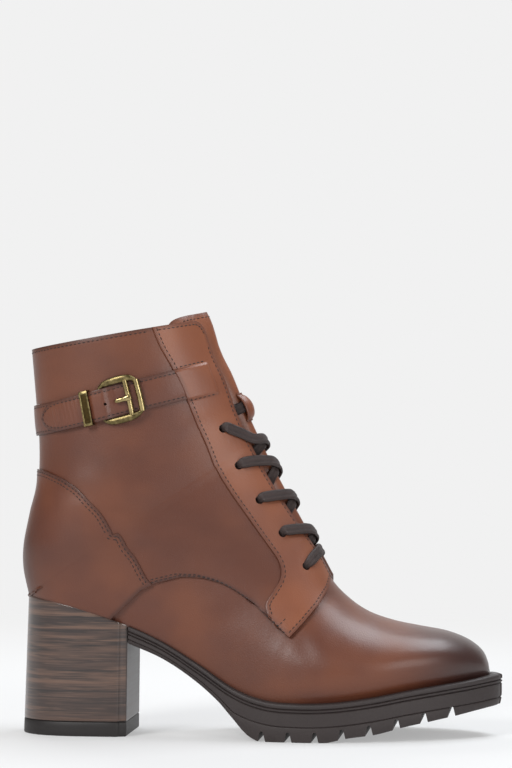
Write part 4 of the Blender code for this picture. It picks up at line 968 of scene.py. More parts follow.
TIP = np.mean([on_last(np.full(3, LAST_ROW), [0.0, 0.5, 1.0], side) for side in (OUTER, INNER)],
              axis=(0, 1))
vamp = sew(vamp_half(OUTER) + vamp_half(INNER), "vamp_and_lining", 3e-5)
note_rim(vamp)
thicken(vamp, UPPER_WALL, 0.0, inner=1, rim=2)

# %% [markdown]
# ## Quarters
# The outer leather of the shaft, one piece round the heel. Its lower edge lies on the
# vamp in a curve that sweeps up from the waist and down to the pointed flap.

# %% Quarters
halves = []
for side in (OUTER, INNER):
    half, u, v = new_grid("quarter", 64, SHAFT_GRID_ROWS)
    s, t = shaft_place(shaft_down(v), u, side)
    halves.append(lay(half, *tucked_under(u, s, *dressed(s, t, side, ground(s) + QUARTER_TOP))))
quarters = sew(halves, "quarters_leather")
note_rim(quarters)
thicken(quarters, QUARTER_LEATHER)

# %% [markdown]
# ## Heel counter
# A second leather over the back, cut in a long curve from behind the ankle down to the
# waist. Its rows are closer together at the top, where the curve is nearly level.

# %% Heel counter
def counter_down(v):
    top = COUNTER_SEAM[0][0]
    upper = top + (CORNER_SHARE - top) * np.minimum(v / 0.6, 1.0) ** 2
    return np.where(v <= 0.6, upper, CORNER_SHARE + (1.0 - CORNER_SHARE) * (v - 0.6) / 0.4)


halves = []
for side in (OUTER, INNER):
    half, u, v = new_grid("counter", 40, 100)
    down = counter_down(v)
    column = u * seam_at(COUNTER_SEAM, down)
    s, t = shaft_place(down, column, side)
    halves.append(lay(half, *tucked_under(u, s, *dressed(s, t, side, ground(s) + OVERLAY_TOP))))
counter = sew(halves, "counter_leather")
note_rim(counter)
thicken(counter, OVERLAY_WALL)

# %% [markdown]
# ## Eyelet facings
# The facing carries the eyelets and the edge of the throat. The strap's end is sewn in
# under it, so the facing rises over it in a flat, soft-edged patch. More rows lie there
# and at the bottom, where its rear seam turns into the flap.

# %% How the facing rises over the strap
def strap_lift(s, column, side):
    t = throat(s, side) * column
    step = on_last(s + 0.05, t, side) - on_last(s - 0.05, t, side)
    away = np.abs(linear(STRAP_LINE, column) - s) * np.linalg.norm(step, axis=-1) / 0.1
    edge = 1.0 - smooth((away - 0.5 * STRAP_WIDTH + 0.0006) / 0.0021)
    end = 1.0 - smooth((column - STRAP_END + 0.008) / 0.016)
    return 0.00100 * edge * end


# %% Facings
def facing_down(v):
    return np.interp(v, [0.0, 0.06, 0.40, 0.70, 0.88, 1.0], [0.0, 0.075, 0.175, 0.86, 0.93, 1.0])


facings = {}
for side, name in ((OUTER, "facing_leather_outer"), (INNER, "facing_leather_inner")):
    half, u, v = new_grid(name, 44, 150)
    down = facing_down(v)
    seam = seam_at(FACING_SEAM, down)
    column = seam + (1.0 - seam) * u
    s, t = shaft_place(down, column, side)
    lay(half, *dressed(s, t, side, ground(s) + OVERLAY_TOP + strap_lift(s, column, side)))
    note_rim(half)
    facings[side] = thicken(half, OVERLAY_WALL)

# %% [markdown]
# The eyelets are punched holes without rings. One cylinder for each is set square to
# the leather, and a Boolean takes them out of the facing, the quarter and the lining.

# %% Punch the eyelets
PUNCH = 0.0046
punches = []
for side in (OUTER, INNER):
    for row in eyelets(side):
        at = np.array([row])
        t = from_ridge(at, EYELET_LINE, side)
        turn = Vector(outward(at, t, side)[0]).to_track_quat("Z", "Y").to_euler()
        bpy.ops.object.select_all(action="DESELECT")
        bpy.ops.mesh.primitive_cylinder_add(vertices=20, radius=0.5 * PUNCH, depth=0.009,
                                            location=on_last(at, t, side)[0], rotation=turn)
        punches.append(bpy.context.object)
select_only(*punches)
bpy.ops.object.join()
bpy.ops.object.transform_apply()
punch = bpy.context.object
for piece in (facings[OUTER], facings[INNER], quarters, vamp):
    holes = piece.modifiers.new("holes", "BOOLEAN")
    holes.object = punch
    holes.solver = "EXACT"
    before = len(piece.data.polygons)
    apply_all(piece)
    smooth_shade(piece)
    print(piece.name, "punched:", before, "->", len(piece.data.polygons), "faces")
bpy.data.objects.remove(punch)

# %% Hand the leathers over
finish_piece(vamp, ["upper"], "tan_leather", tan, lining, raw_edge)
finish_piece(quarters, ["quarters"], "tan_leather", tan, raw_edge)
finish_piece(counter, ["heel_counter"], "tan_leather", tan, raw_edge)
finish_piece(facings[OUTER], ["facing_lateral"], "facing_leather", light_tan, raw_edge)
finish_piece(facings[INNER], ["facing_medial"], "facing_leather", light_tan, raw_edge)

# %% [markdown]
# ## Tongue
# A padded tongue fills the throat and stands a little above the collar. It is a grid
# over the ridge, low under the facings and full between them, with its top corners round.

# %% Tongue
STEP_AT_COLLAR = np.linalg.norm(LAST[COLLAR_ROW, 2:4] - LAST[COLLAR_ROW - 1, 2:4])


def tongue_place(u, v, side):
    """u runs from the tongue's edge to the ridge, v from its top down."""
    down = COLLAR_ROW + v * (TONGUE_END - COLLAR_ROW)
    rise = TONGUE_RISE / STEP_AT_COLLAR * np.sqrt(1.0 - (1.0 - u) ** 3)
    s = down - rise * (1.0 - v) ** 6
    edge = from_ridge(down, TONGUE_HALF_WIDTH * (1.0 - 0.35 * v), side)
    return s, edge + (1.0 - edge) * u


halves = []
for side in (OUTER, INNER):
    half, u, v = new_grid("tongue", 28, 90)
    s, t = tongue_place(u, v, side)
    base, out = on_last(s, t, side), outward(s, t, side)
    puff = 0.0004 * np.sin(math.pi * np.clip(v * 18.0, 0.0, 1.0)) * smooth(u * 4.0)
    height = tongue_height(s, t, side) + puff - 0.0009 * (1.0 - smooth(v * 60.0))
    halves.append(lay(half, base + out * height[:, None], out))
tongue = sew(halves, "tongue_leather")
note_rim(tongue)
thicken(tongue, TONGUE_THICKNESS, 0.0005, inner=1, rim=2)
finish_piece(tongue, ["tongue"], "facing_leather", light_tan, lining, raw_edge)

# %% [markdown]
# ## Lace loop
# A small leather tab on the tongue that the top lace runs through. It is a strip laid
# along the ridge, lifted in a round arch and sewn down at both ends.

# %% Lace loop
LOOP_ARCH = 0.0036
loop, u, v = new_grid("tongue_loop_leather", 14, 40)
s = LOOP_TOP - 0.15 + v * (LOOP_FOOT - LOOP_TOP + 0.3)
away = (u - 0.5) * LOOP_WIDTH * (1.0 - 0.16 * np.abs(2.0 * v - 1.0) ** 3)
points, outs = np.zeros((len(u), 3)), np.zeros((len(u), 3))
for side, here in ((OUTER, away <= 0.0), (INNER, away > 0.0)):
    t = from_ridge(s[here], np.abs(away[here]), side)
    arch = LOOP_ARCH * np.sin(math.pi * np.clip((v[here] - 0.07) / 0.86, 0.0, 1.0)) ** 0.55
    height = tongue_height(s[here], t, side) + 0.0011 + arch
    outs[here] = outward(s[here], t, side)
    points[here] = on_last(s[here], t, side) + outs[here] * height[:, None]
lay(loop, points, outs)
note_rim(loop)
thicken(loop, LOOP_LEATHER, 0.0003)
finish_piece(loop, ["tongue_loop"], "facing_leather", light_tan, raw_edge)

# %% [markdown]
# ## Laces
# A flat woven lace with a groove down its middle, so it looks like two cords side by
# side. It comes out of the dark under one facing, crosses the tongue, lies on the other
# facing and dives into the eyelet there. A grid is rolled round the path: one way round
# the lace, the other way along it, and its width narrows where the eyelet grips it.

# %% A grid rolled round a path
def smooth_path(points, steps):
    """A smooth curve through the points, with that many steps of equal length."""
    points = np.array(points, float)
    fine = through(points, np.linspace(0.0, len(points) - 1.0, 40 * len(points)))
    length = np.concatenate([[0.0], np.linalg.norm(np.diff(fine, axis=0), axis=1).cumsum()])
    at = np.linspace(0.0, length[-1], steps + 1)
    return np.stack([np.interp(at, length, fine[:, k]) for k in range(3)], axis=1), length[-1]


def unit(vectors):
    return vectors / np.maximum(np.linalg.norm(vectors, axis=-1, keepdims=True), 1e-12)


def roll(name, path, across, profile, around=16, closed=False):
    """A tube along a path. profile(turn, share) gives its half width and height there."""
    steps = len(path) - 1
    piece, u, v = new_grid(name, around, steps)
    row = np.rint(v * steps).astype(int)
    ahead = np.gradient(path, axis=0)
    if closed:
        ahead[0] = ahead[-1] = path[1] - path[-2]
    ahead = unit(ahead)
    across = unit(across - ahead * (across * ahead).sum(axis=1, keepdims=True))
    up = np.cross(across, ahead)
    side, height = profile(2.0 * math.pi * u, v)
    spoke = across[row] * side[:, None] + up[row] * height[:, None]
    lay(piece, path[row] + spoke, spoke)
    length = np.concatenate([[0.0], np.linalg.norm(np.diff(path, axis=0), axis=1).cumsum()])
    piece.data.attributes.new("reach", "FLOAT", "POINT").data.foreach_set("value", length[row] / MM)
    piece.data.attributes.new("turn", "FLOAT", "POINT").data.foreach_set("value", np.abs(2.0 * u - 1.0))
    in_edit(piece, lambda: bpy.ops.mesh.remove_doubles(threshold=1e-6))
    if not closed:
        in_edit(piece, lambda: bpy.ops.mesh.select_all(action="DESELECT"),
                lambda: bpy.ops.mesh.select_non_manifold(),
                lambda: bpy.ops.mesh.edge_face_add())
        in_edit(piece, lambda: bpy.ops.mesh.normals_make_consistent(inside=False))
    return piece


# %% The lace's path
LACE_THICK = 0.0020


def lace_profile(narrow):
    """Two lobes with a groove between them, narrowed by the given share at its ends."""
    def shape(turn, share):
        pinch = narrow(share)
        wide = 0.5 * LACE_WIDTH * pinch * np.sign(np.cos(turn)) * np.abs(np.cos(turn)) ** 0.8
        reach = wide / (0.5 * LACE_WIDTH * pinch)
        groove = 1.0 - 0.34 * np.exp(-(reach / 0.16) ** 2)
        tall = 0.5 * LACE_THICK * (1.0 + 0.35 * (1.0 - pinch)) * groove
        return wide, tall * np.sign(np.sin(turn)) * np.abs(np.sin(turn)) ** 0.75
    return shape


def front_point(row, away, lift):
    """A point over the front: its row, signed distance from the ridge, and height there."""
    side = OUTER if away < 0 else INNER
    at = np.array([row])
    t = from_ridge(at, abs(away), side)
    height = np.array([lift(at, t, side)]).ravel()[0]
    return (on_last(at, t, side) + outward(at, t, side) * height)[0]


def on_top(s, t, side):
    """The middle of a lace that lies on the facings and, taut, on the tongue."""
    edge = throat(s, side)
    gap = smooth((t - edge) / (1.0 - edge))
    return (ground(s) + OVERLAY_TOP) * (1.0 - gap) + 0.5 * LACE_THICK + 0.0001


def tucked(s, t, side):
    """The middle of a lace that lies between the tongue and the lining."""
    return tongue_height(s, t, side) + 0.5 * LACE_THICK + 0.0001


# %% One run of the lace, from an eyelet to under the other facing
def lace_run(name, side, row, other_row, hump):
    across_edge = THROAT_HALF_GAP * float(linear(THROAT_EDGE, other_row)) - 0.0028
    points = [front_point(row, side * EYELET_LINE, lambda *at: -0.0046),
              front_point(row, side * EYELET_LINE, lambda *at: -0.0018)]
    start = np.array([row, side * (EYELET_LINE - 0.0016)])
    end = np.array([other_row - TUCK_SHIFT, -side * across_edge])
    for w in np.linspace(0.0, 1.0, 15):
        s, away = start + (end - start) * w
        same = away * side > 0

        def lift(at, t, here):
            high = on_top(at, t, here)
            low = tucked(at, t, here)
            share = 1.0 if same else 1.0 - float(smooth(abs(away) / across_edge))
            rise = hump * float(smooth(1.4 - abs(away) / 0.0085))
            first = 0.0002 if w == 0.0 else 0.0
            return high * share + np.minimum(high, low) * (1.0 - share) + rise - first
        points.append(front_point(s, away, lift))
    for away in (across_edge + 0.005, EYELET_LINE - 0.003):
        points.append(front_point(other_row - 0.5 * TUCK_SHIFT, -side * away, tucked))
    path, length = smooth_path(points, 110)
    normal = outward(np.array([row]), from_ridge(np.array([row]), EYELET_LINE, side), side)[0]
    forward = unit(np.gradient(path, axis=0))
    ups = np.array([normal] * len(path))
    share = np.linspace(0.0, 1.0, len(path))
    for k in range(len(path)):
        if share[k] > 0.08:
            s_here = start[0] + (end[0] - start[0]) * min(share[k] / 0.8, 1.0)
            away = start[1] + (end[1] - start[1]) * min(share[k] / 0.8, 1.0)
            here = OUTER if away < 0 else INNER
            at = np.array([s_here])
            ups[k] = outward(at, from_ridge(at, abs(away), here), here)[0]
    across = np.cross(forward, ups)
    flat = np.cross(path[12] - path[6], normal)
    across[share < 0.09] = unit(flat)
    for _ in range(4):
        across[1:-1] = unit(across[:-2] + across[1:-1] + across[2:])
    grip = 0.0075 / length
    return roll(name, path, across, lace_profile(lambda w: 0.68 + 0.32 * smooth(w / grip - 0.35)))


# %% Lace them up
lace_finish = Finish("waxed_lace", Roughness=0.5)
reach, turn = lace_finish.attribute("reach"), lace_finish.attribute("turn")
ribs = lace_finish.place.sum("SINE", 9.5 * reach + 14.0 * turn, 0.0)
weave = lace_finish.place.sum("SINE", 9.5 * reach - 14.0 * turn, 0.0)
wear = lace_finish.noise(300.0, 3.0)
tone = (0.5 * wear + 0.22 * ribs * weave + 0.1).mix(colour(32, 21, 19), colour(70, 52, 48))
lace_finish.set("Base Color", tone)
lace_finish.set("Roughness", 0.42 + 0.3 * wear)
lace_finish.bump(ribs * weave + 0.6 * wear, 0.00010, 0.7)

rows = [eyelets(OUTER), eyelets(INNER)]
laces = []
for k in range(1, EYELET_COUNT):
    over_run = lace_run("run", OUTER, rows[0][k], rows[1][k - 1], LACE_THICK * 1.02)
    under_run = lace_run("run", INNER, rows[1][k], rows[0][k - 1], 0.0)
    laces.append(sew([over_run, under_run], f"lace_pair_{k}", 1e-7))
    smooth_shade(laces[-1], 60.0)
    finish_piece(laces[-1], [f"lace_cross_{k}"], "lace_cord", lace_finish.material)

# %% The lowest bar and the lace through the loop
def front_run(name, ends, lift, narrow, steps=100):
    """A lace straight across the front between two signed distances from the ridge."""
    row = ends[0]
    points, ups = [], []
    for away in np.linspace(ends[1], ends[2], 23):
        points.append(front_point(row, away, lambda s, t, here: lift(s, t, here, away)))
    path, _ = smooth_path(points, steps)
    for away in np.linspace(ends[1], ends[2], steps + 1):
        here = OUTER if away < 0 else INNER
        at = np.array([row])
        ups.append(outward(at, from_ridge(at, abs(away), here), here)[0])
    across = np.cross(unit(np.gradient(path, axis=0)), np.array(ups))
    return roll(name, path, across, lace_profile(narrow))


def bar_lift(s, t, side, away):
    dive = 0.0058 * (1.0 - smooth((EYELET_LINE - abs(away)) / 0.0024))
    return on_top(s, t, side) - dive


bar_reach = EYELET_LINE + 0.0003
bar = front_run("lace_lowest", (float(rows[0][0]), -bar_reach, bar_reach), bar_lift,
                lambda w: 0.68 + 0.32 * smooth((0.5 - np.abs(w - 0.5)) / 0.14 - 0.3))
smooth_shade(bar, 60.0)
finish_piece(bar, ["lace_bar"], "lace_cord", lace_finish.material)

top_row = 0.5 * (LOOP_TOP + LOOP_FOOT) - TOP_LACE_SHIFT
top_reach = THROAT_HALF_GAP * float(linear(THROAT_EDGE, top_row)) + 0.004


def top_lift(s, t, side, away):
    slack = 0.0030 * float(smooth((away - 0.0030) / 0.003) * smooth((0.0135 - away) / 0.0055))
    return tongue_height(s, t, side) + 0.5 * LACE_THICK + 0.0002 + slack


top_bar = front_run("lace_through_loop", (top_row, -top_reach, top_reach), top_lift,
                    lambda w: 1.0 + 0.0 * w)
smooth_shade(top_bar, 60.0)
finish_piece(top_bar, ["lace_top_bar"], "lace_cord", lace_finish.material)

# %% [markdown]
# ## Straps
# Two lengths of one strap round the shaft. The rear one comes from under the inner
# facing round the heel and holds the buckle; the front one comes from under the outer
# facing, goes through the buckle over the rear one, and ends in a stitched round tip.
# Both are grids with a crown across them and a shallow channel where the stitches run.

# %% The strap's cross shape
STRAP_EDGE_ROW = 0.0016
# Column at which both straps end, hidden under the facing
STRAP_HIDDEN_END = 0.86


def strap_crown(share):
    """Height of the strap's face across it; share runs from -1 to 1."""
    away = (1.0 - np.abs(share)) * 0.5 * STRAP_WIDTH
    channel = np.exp(-((away - STRAP_EDGE_ROW) / 0.0005) ** 2)
    return 0.00035 * (1.0 - share ** 2) - 0.00012 * channel


def strap_sheet(column, half, share, side, low):
    s, t = strap_row(column, share * half, side)
    height = QUARTER_TOP + ground(s) + low + STRAP_LEATHER + strap_crown(share)
    base, out = on_last(s, t, side), outward(s, t, side)
    return base + out * (height + relief(base, side))[:, None], out


# %% Rear strap
column_at, _, along_at = strap_middle()
half_strap = 0.5 * STRAP_WIDTH
rear_end = float(np.interp(-0.5 * BUCKLE_LENGTH - 0.001, along_at, column_at))
halves = []
for side, end in ((OUTER, rear_end), (INNER, STRAP_HIDDEN_END)):
    half, u, v = new_grid("strap", 18, 100)
    share = 2.0 * u - 1.0
    halves.append(lay(half, *strap_sheet(v * end, half_strap, share, side, 0.00005)))
rear_strap = sew(halves, "strap_leather_rear")
note_rim(rear_strap)
thicken(rear_strap, STRAP_LEATHER)
finish_piece(rear_strap, ["strap_rear"], "tan_leather", tan, raw_edge)

# %% Front strap with its tip
FRONT_LIFT = (
    (-0.0600, 0.00150), (-0.0165, 0.00150), (-0.0140, 0.00260), (-0.0086, 0.00260),
    (-0.0055, 0.00110), (-0.0020, 0.00012), (0.0600, 0.00005),
)
front, u, v = new_grid("strap_leather_front", 18, 190)
start_along = -STRAP_TIP
end_along = float(np.interp(STRAP_HIDDEN_END, column_at, along_at))
closer = np.where(v < 0.3, v * v / 0.6, 0.15 + (v - 0.3) * 0.85 / 0.7)
along = start_along + (end_along - start_along) * closer
tip = np.clip((start_along + STRAP_TIP_LENGTH - along) / STRAP_TIP_LENGTH, 0.0, 1.0)
half = half_strap * np.sqrt(np.maximum(1.0 - tip ** 2.2, 0.0004))
share = 2.0 * u - 1.0
creased = (along > -0.040) & (along < -0.0215)
folds = 0.00011 * np.sin(along * 2600.0 + 2.0 * share) * (1.0 - share ** 4) * creased
column = np.interp(along, along_at, column_at)
bend = 0.0008 * tip * (1.0 - tip)
height = linear_smooth(FRONT_LIFT, along) + folds - bend
points, out = strap_sheet(column, half, share, OUTER, height)
lay(front, points, out)
note_rim(front)
thicken(front, STRAP_LEATHER)
hole_at = -0.0079
bpy.ops.object.select_all(action="DESELECT")
place, up = strap_point(np.array([hole_at]), np.array([0.0]), 0.003)
bpy.ops.mesh.primitive_cylinder_add(vertices=16, radius=0.00075, depth=0.012, location=place[0],
                                    rotation=Vector(up[0]).to_track_quat("Z", "Y").to_euler())
awl = bpy.context.object
hole = front.modifiers.new("hole", "BOOLEAN")
hole.object = awl
hole.solver = "EXACT"
apply_all(front)
smooth_shade(front)
bpy.data.objects.remove(awl)
finish_piece(front, ["strap_front"], "tan_leather", tan, raw_edge)

# %% [markdown]
# ## Buckle
# Cast brass with an antique finish: two wide rails that bow outwards above and below the
# strap, two round bars on the right, one on the left under the strap, and a flat prong.
# The frame is a grid rolled round a rounded oblong, wide in the rails and narrow at the
# ends. Dark patina stays in the hollows and the bars are rubbed bright.

# %% Brass
brass_finish = Finish("antique_brass", Metallic=1.0)
patina = brass_finish.noise(420.0, 4.0)
cloud = brass_finish.noise(120.0, 2.0)
tone = patina.between(0.35, 0.7).mix(colour(104, 92, 60), colour(146, 130, 90))
tone = (0.40 * cloud.between(0.4, 0.75)).mix(tone, colour(62, 54, 38))
brass_finish.set("Base Color", tone)
brass_finish.set("Roughness", 0.26 + 0.22 * patina)
brass_finish.bump(patina, 0.00001, 0.3)
brass = brass_finish.material
bar_finish = Finish("rubbed_brass", Metallic=1.0)
polish = bar_finish.noise(260.0, 3.0)
bar_finish.set("Base Color", polish.between(0.3, 0.75).mix(colour(178, 160, 114), colour(134, 118, 80)))
bar_finish.set("Roughness", 0.16 + 0.16 * polish)
bar_finish.bump(polish, 0.000005, 0.3)
rubbed = bar_finish.material

# %% Buckle frame
HALF_LONG = 0.5 * (BUCKLE_LENGTH - BUCKLE_BAR)
RAIL_IN = half_strap + 0.0003
LOW_BAR = 0.5 * BUCKLE_BAR + 0.0001
HIGH_BAR = STRAP_LEATHER + 0.5 * BUCKLE_BAR + 0.0004


turns = np.linspace(0.0, 2.0 * math.pi, 121)
power = 0.34
ring_x = HALF_LONG * np.sign(np.cos(turns)) * np.abs(np.cos(turns)) ** power
rail = np.abs(np.sin(turns)) ** 3
bow = np.clip(1.0 - (ring_x / (HALF_LONG * 1.05)) ** 2, 0.0, 1.0)
width = 0.5 * BUCKLE_BAR * (0.9 + 0.75 * rail * bow)
ring_y = (RAIL_IN + width) * np.sign(np.sin(turns)) * np.abs(np.sin(turns)) ** power
lift = LOW_BAR + (HIGH_BAR - LOW_BAR) * smooth((ring_x + HALF_LONG) / (2.0 * HALF_LONG) * 1.3)
ring, ups = strap_point(ring_x, ring_y, lift + 0.0004 * rail * bow)
across = np.cross(unit(np.gradient(ring, axis=0)), ups)
across[0] = across[-1] = unit(across[1] + across[-2])


def rail_profile(turn, share):
    at = np.interp(share, np.linspace(0.0, 1.0, len(width)), width)
    return at * np.cos(turn), 0.5 * BUCKLE_BAR * 0.82 * np.sin(turn)


frame_piece = roll("buckle_frame", ring, across, rail_profile, 16, closed=True)
smooth_shade(frame_piece, 60.0)


def round_bar(name, along, reach, height, radius):
    across = np.linspace(-reach, reach, 25)
    path, ups = strap_point(np.full(25, along), across, height)
    side = np.cross(unit(np.gradient(path, axis=0)), ups)

    def profile(turn, share):
        swell = radius * (1.0 + 0.06 * np.sin(math.pi * share))
        return swell * np.cos(turn), swell * np.sin(turn)
    made = roll(name, path, side, profile, 16)
    smooth_shade(made, 60.0)
    return made


bars = [round_bar("bar", BUCKLE_INNER_BAR - 0.0006, RAIL_IN + 0.0008, HIGH_BAR, 0.00150),
        round_bar("bar", HALF_LONG - 0.0002, RAIL_IN - 0.0001, HIGH_BAR + 0.0001, 0.00165)]
bars_piece = sew(bars, "buckle_bars", 1e-7)
finish_piece(frame_piece, ["buckle"], "aged_brass", brass)
finish_piece(bars_piece, ["buckle"], "aged_brass", rubbed)

# %% Prong
prong, u, v = new_grid("buckle_tongue", 14, 34)
turn = 2.0 * math.pi * u
along = BUCKLE_INNER_BAR + 0.0010 - v * 0.0092
tipped = np.sqrt(np.clip(1.0 - ((v - 0.80) / 0.20).clip(0.0, 1.0) ** 2, 0.0, 1.0))
start_round = np.sqrt(np.clip(1.0 - (1.0 - (v / 0.12).clip(0.0, 1.0)) ** 2, 0.0, 1.0))
wide = 0.5 * (0.0034 - 0.0010 * smooth(v * 1.6)) * tipped * start_round
over_bar = HIGH_BAR + 0.5 * BUCKLE_BAR + 0.0004
drop = smooth((v - 0.22) / 0.5)
middle = over_bar * (1.0 - drop) + (STRAP_LEATHER + 0.0024) * drop
thick = 0.00075 * tipped * start_round
round_x = np.sign(np.cos(turn)) * np.abs(np.cos(turn)) ** 0.7
points, out = strap_point(along, wide * round_x, middle + thick * np.sin(turn))
lay(prong, points, out * np.sin(turn)[:, None])
sew([prong], "buckle_tongue", 1e-5)
in_edit(prong, lambda: bpy.ops.mesh.normals_make_consistent(inside=False))
smooth_shade(prong, 60.0)
finish_piece(prong, ["buckle_prong"], "aged_brass", rubbed)

# %% [markdown]
# ## Keeper
# A flat metal band over both straps that holds the tip down. Its face is a shallow tray:
# bright raised edges round a dark sunk panel, which is left plain here.

# %% Keeper
keeper, u, v = new_grid("keeper_band", 16, 80)
side_reach = half_strap + 0.0013
roof = STRAP_LEATHER * 2.0 + 0.0019
turn_in = 0.0010
path_across = np.array([-side_reach, -side_reach, -side_reach + 0.25 * turn_in,
                        -side_reach + turn_in, -0.5 * side_reach, 0.0, 0.5 * side_reach,
                        side_reach - turn_in, side_reach - 0.25 * turn_in, side_reach, side_reach])
path_height = np.array([0.0002, roof - turn_in, roof - 0.25 * turn_in, roof, roof + 0.0002,
                        roof + 0.0004, roof + 0.0002, roof, roof - 0.25 * turn_in,
                        roof - turn_in, 0.0002])
where = np.array([0.0, 0.13, 0.16, 0.19, 0.35, 0.5, 0.65, 0.81, 0.84, 0.87, 1.0])
across = np.interp(v, where, path_across)
height = np.interp(v, where, path_height)
share = 2.0 * u - 1.0
rim_in = np.minimum((1.0 - np.abs(share)) * 0.5 * KEEPER_WIDTH, np.minimum(v - 0.19, 0.81 - v) * 0.025)
tray = smooth((rim_in - 0.0006) / 0.0003)
along = -KEEPER_PLACE + share * 0.5 * KEEPER_WIDTH
height = height - 0.00032 * tray + 0.0002 * (1.0 - share ** 2)
points, out = strap_point(along, across, height)
lay(keeper, points, out)
keeper.data.attributes.new("tray", "FLOAT", "POINT").data.foreach_set("value", tray)
thicken(keeper, KEEPER_METAL * 0.9, 0.0002, inner=0, rim=0)
keeper_finish = Finish("keeper_brass", Metallic=1.0)
patina = keeper_finish.noise(600.0, 4.0)
tray_here = keeper_finish.attribute("tray")
bright = patina.between(0.3, 0.75).mix(colour(112, 100, 66), colour(160, 144, 100))
sunk = patina.mix(colour(30, 25, 18), colour(88, 72, 40))
keeper_finish.set("Base Color", tray_here.mix(bright, sunk))
keeper_finish.set("Roughness", 0.26 + 0.18 * patina + 0.18 * tray_here)
keeper_finish.bump(patina, 0.00003, 0.4)
finish_piece(keeper, ["strap_keeper"], "aged_brass", keeper_finish.material)

# %% [markdown]
# ## Sole
# Moulded rubber: a thin arched waist that thickens under the ball, a lip along its top
# edge, two grooves and a parting line round its side, and a tread of deep notches. The
# side is a grid: round the outline one way, down the side the other. Its top and bottom
# rows go on inwards until they meet in the middle, so the block is closed.

# %% The sole's outline
# Sole thickness: shares of FOOT_LENGTH from the heel curve, shares of BALL_HEIGHT
SOLE_THICKNESS = (
    (0.222, 0.46), (0.262, 0.47), (0.305, 0.45), (0.350, 0.455), (0.391, 0.50),
    (0.437, 0.60), (0.466, 0.78), (0.494, 1.00), (0.516, 1.08), (0.540, 1.10),
    (0.611, 1.04), (0.660, 1.02), (0.711, 0.945), (0.774, 0.955), (0.829, 0.91),
    (0.883, 0.885), (0.938, 0.85), (0.975, 0.82), (1.030, 0.80),
)
# How far the sole stands out past the upper: position along the rows, shares of SOLE_PROUD
SOLE_PROUD = 0.0055
SOLE_STEP_OUT = (
    (8.0, 0.05), (13.0, 0.06), (14.0, 0.10), (15.0, 0.28), (16.0, 0.58), (17.0, 0.84),
    (18.0, 0.94), (19.0, 1.0), (23.0, 1.03), (27.0, 1.10), (29.0, 1.12),
)
SOLE_FOOT_IN = 0.0014
LUG_HEIGHT = 0.0055
LUG_START = 0.5315
LUG_PITCH = 0.01435
LUG_TOE_MARGIN = 0.018
LUG_GAP = 0.0044
LUG_GAP_ROOF = 0.0016

# Heel and top piece
HEEL_FRONT = 0.0336
HEEL_BOTTOM_GROWTH = 0.030
HEEL_BOTTOM_SHIFT = 0.0020
HEEL_CORNER = 0.0025
HEEL_PROUD = 0.0015
LIFT_THICKNESS = 0.008
INSOLE_THICKNESS = 0.003


def feather(s, side):
    """The line where the upper meets the sole."""
    return on_last(s, np.zeros(len(s)), side)


def outline(s, margin):
    """A closed ring round the feather line: outer side, toe, inner side."""
    outer, inner = feather(s, OUTER), feather(s, INNER)
    points = np.vstack([outer, inner[::-1]])
    flat = points[:, :2]
    tangent = np.gradient(flat, axis=0)
    tangent[0] = flat[1] - flat[0]
    tangent[-1] = flat[-1] - flat[-2]
    tangent /= np.linalg.norm(tangent, axis=1, keepdims=True)
    normal = np.stack([tangent[:, 1], -tangent[:, 0]], axis=1)
    m = np.concatenate([margin, margin[::-1]])
    made = points.copy()
    made[:, :2] += normal * m[:, None]
    return made, normal


def breast_row():
    """Position along the rows where the sole meets the heel's front."""
    fine = np.linspace(12.0, 15.0, 301)
    return float(np.interp(HEEL_FRONT + PIECE_GAP, rows_at(fine)[:, 0], fine))


BREAST = breast_row()


def sole_under(x, top):
    """Height of the sole's underside: flat on the floor under the ball."""
    share = (x + HEEL_BACK) / FOOT_LENGTH
    thick = BALL_HEIGHT * linear_smooth(SOLE_THICKNESS, share)
    return np.maximum(top - thick, 0.0)

# %% Closed blocks between outlines
def block(name, rings, cap=6):
    """A closed block from rings whose points pair up across the middle."""
    rings = np.array(rings)
    around, levels = rings.shape[1], len(rings) + 2 * cap
    piece, u, v = new_grid(name, around, levels - 1)
    k = np.rint(u * around).astype(int) % around
    level = np.rint(v * (levels - 1)).astype(int)
    ring = np.clip(level - cap, 0, len(rings) - 1)
    own, pair = rings[ring, k], rings[ring, around - 1 - k]
    inward = np.maximum(cap - level, level - cap - len(rings) + 1).clip(0, cap) / cap
    points = own + (0.5 * (own + pair) - own) * inward[:, None]
    middle = 0.5 * (rings.min(axis=(0, 1)) + rings.max(axis=(0, 1)))
    lay(piece, points, points - middle)
    in_edit(piece, lambda: bpy.ops.mesh.remove_doubles(threshold=2e-6),
            lambda: bpy.ops.mesh.normals_make_consistent(inside=False))
    return piece


# %% Sole block
SOLE_LIP = (
    (0.0000, 0.00, 0.0022), (0.0001, 0.01, 0.0012), (0.0004, 0.03, 0.0005), (0.0009, 0.08, 0.0001),
    (0.0016, 0.16, 0.0000), (0.0024, 0.24, 0.0001), (0.0028, 0.28, 0.0004), (0.0031, 0.31, 0.0010),
    (0.0034, 0.34, 0.0004), (0.0037, 0.37, 0.0001), (0.0042, 0.42, 0.0001), (0.0045, 0.45, 0.0004),
    (0.0048, 0.48, 0.0010), (0.0051, 0.51, 0.0006), (0.0054, 0.54, 0.0003), (0.0070, 0.60, 0.0003),
    (0.0095, 0.66, 0.0003), (0.0120, 0.72, 0.0004), (0.0123, 0.74, 0.0007), (0.0126, 0.76, 0.0010),
    (0.0129, 0.78, 0.0006), (0.0132, 0.80, 0.0005), (0.0170, 0.92, 0.0009), (0.0205, 0.98, 0.0012),
)
stations = np.concatenate([np.linspace(BREAST, 17.0, 44)[:-1], np.linspace(17.0, 26.0, 60)[:-1],
                           np.linspace(26.0, LAST_ROW, 22)])
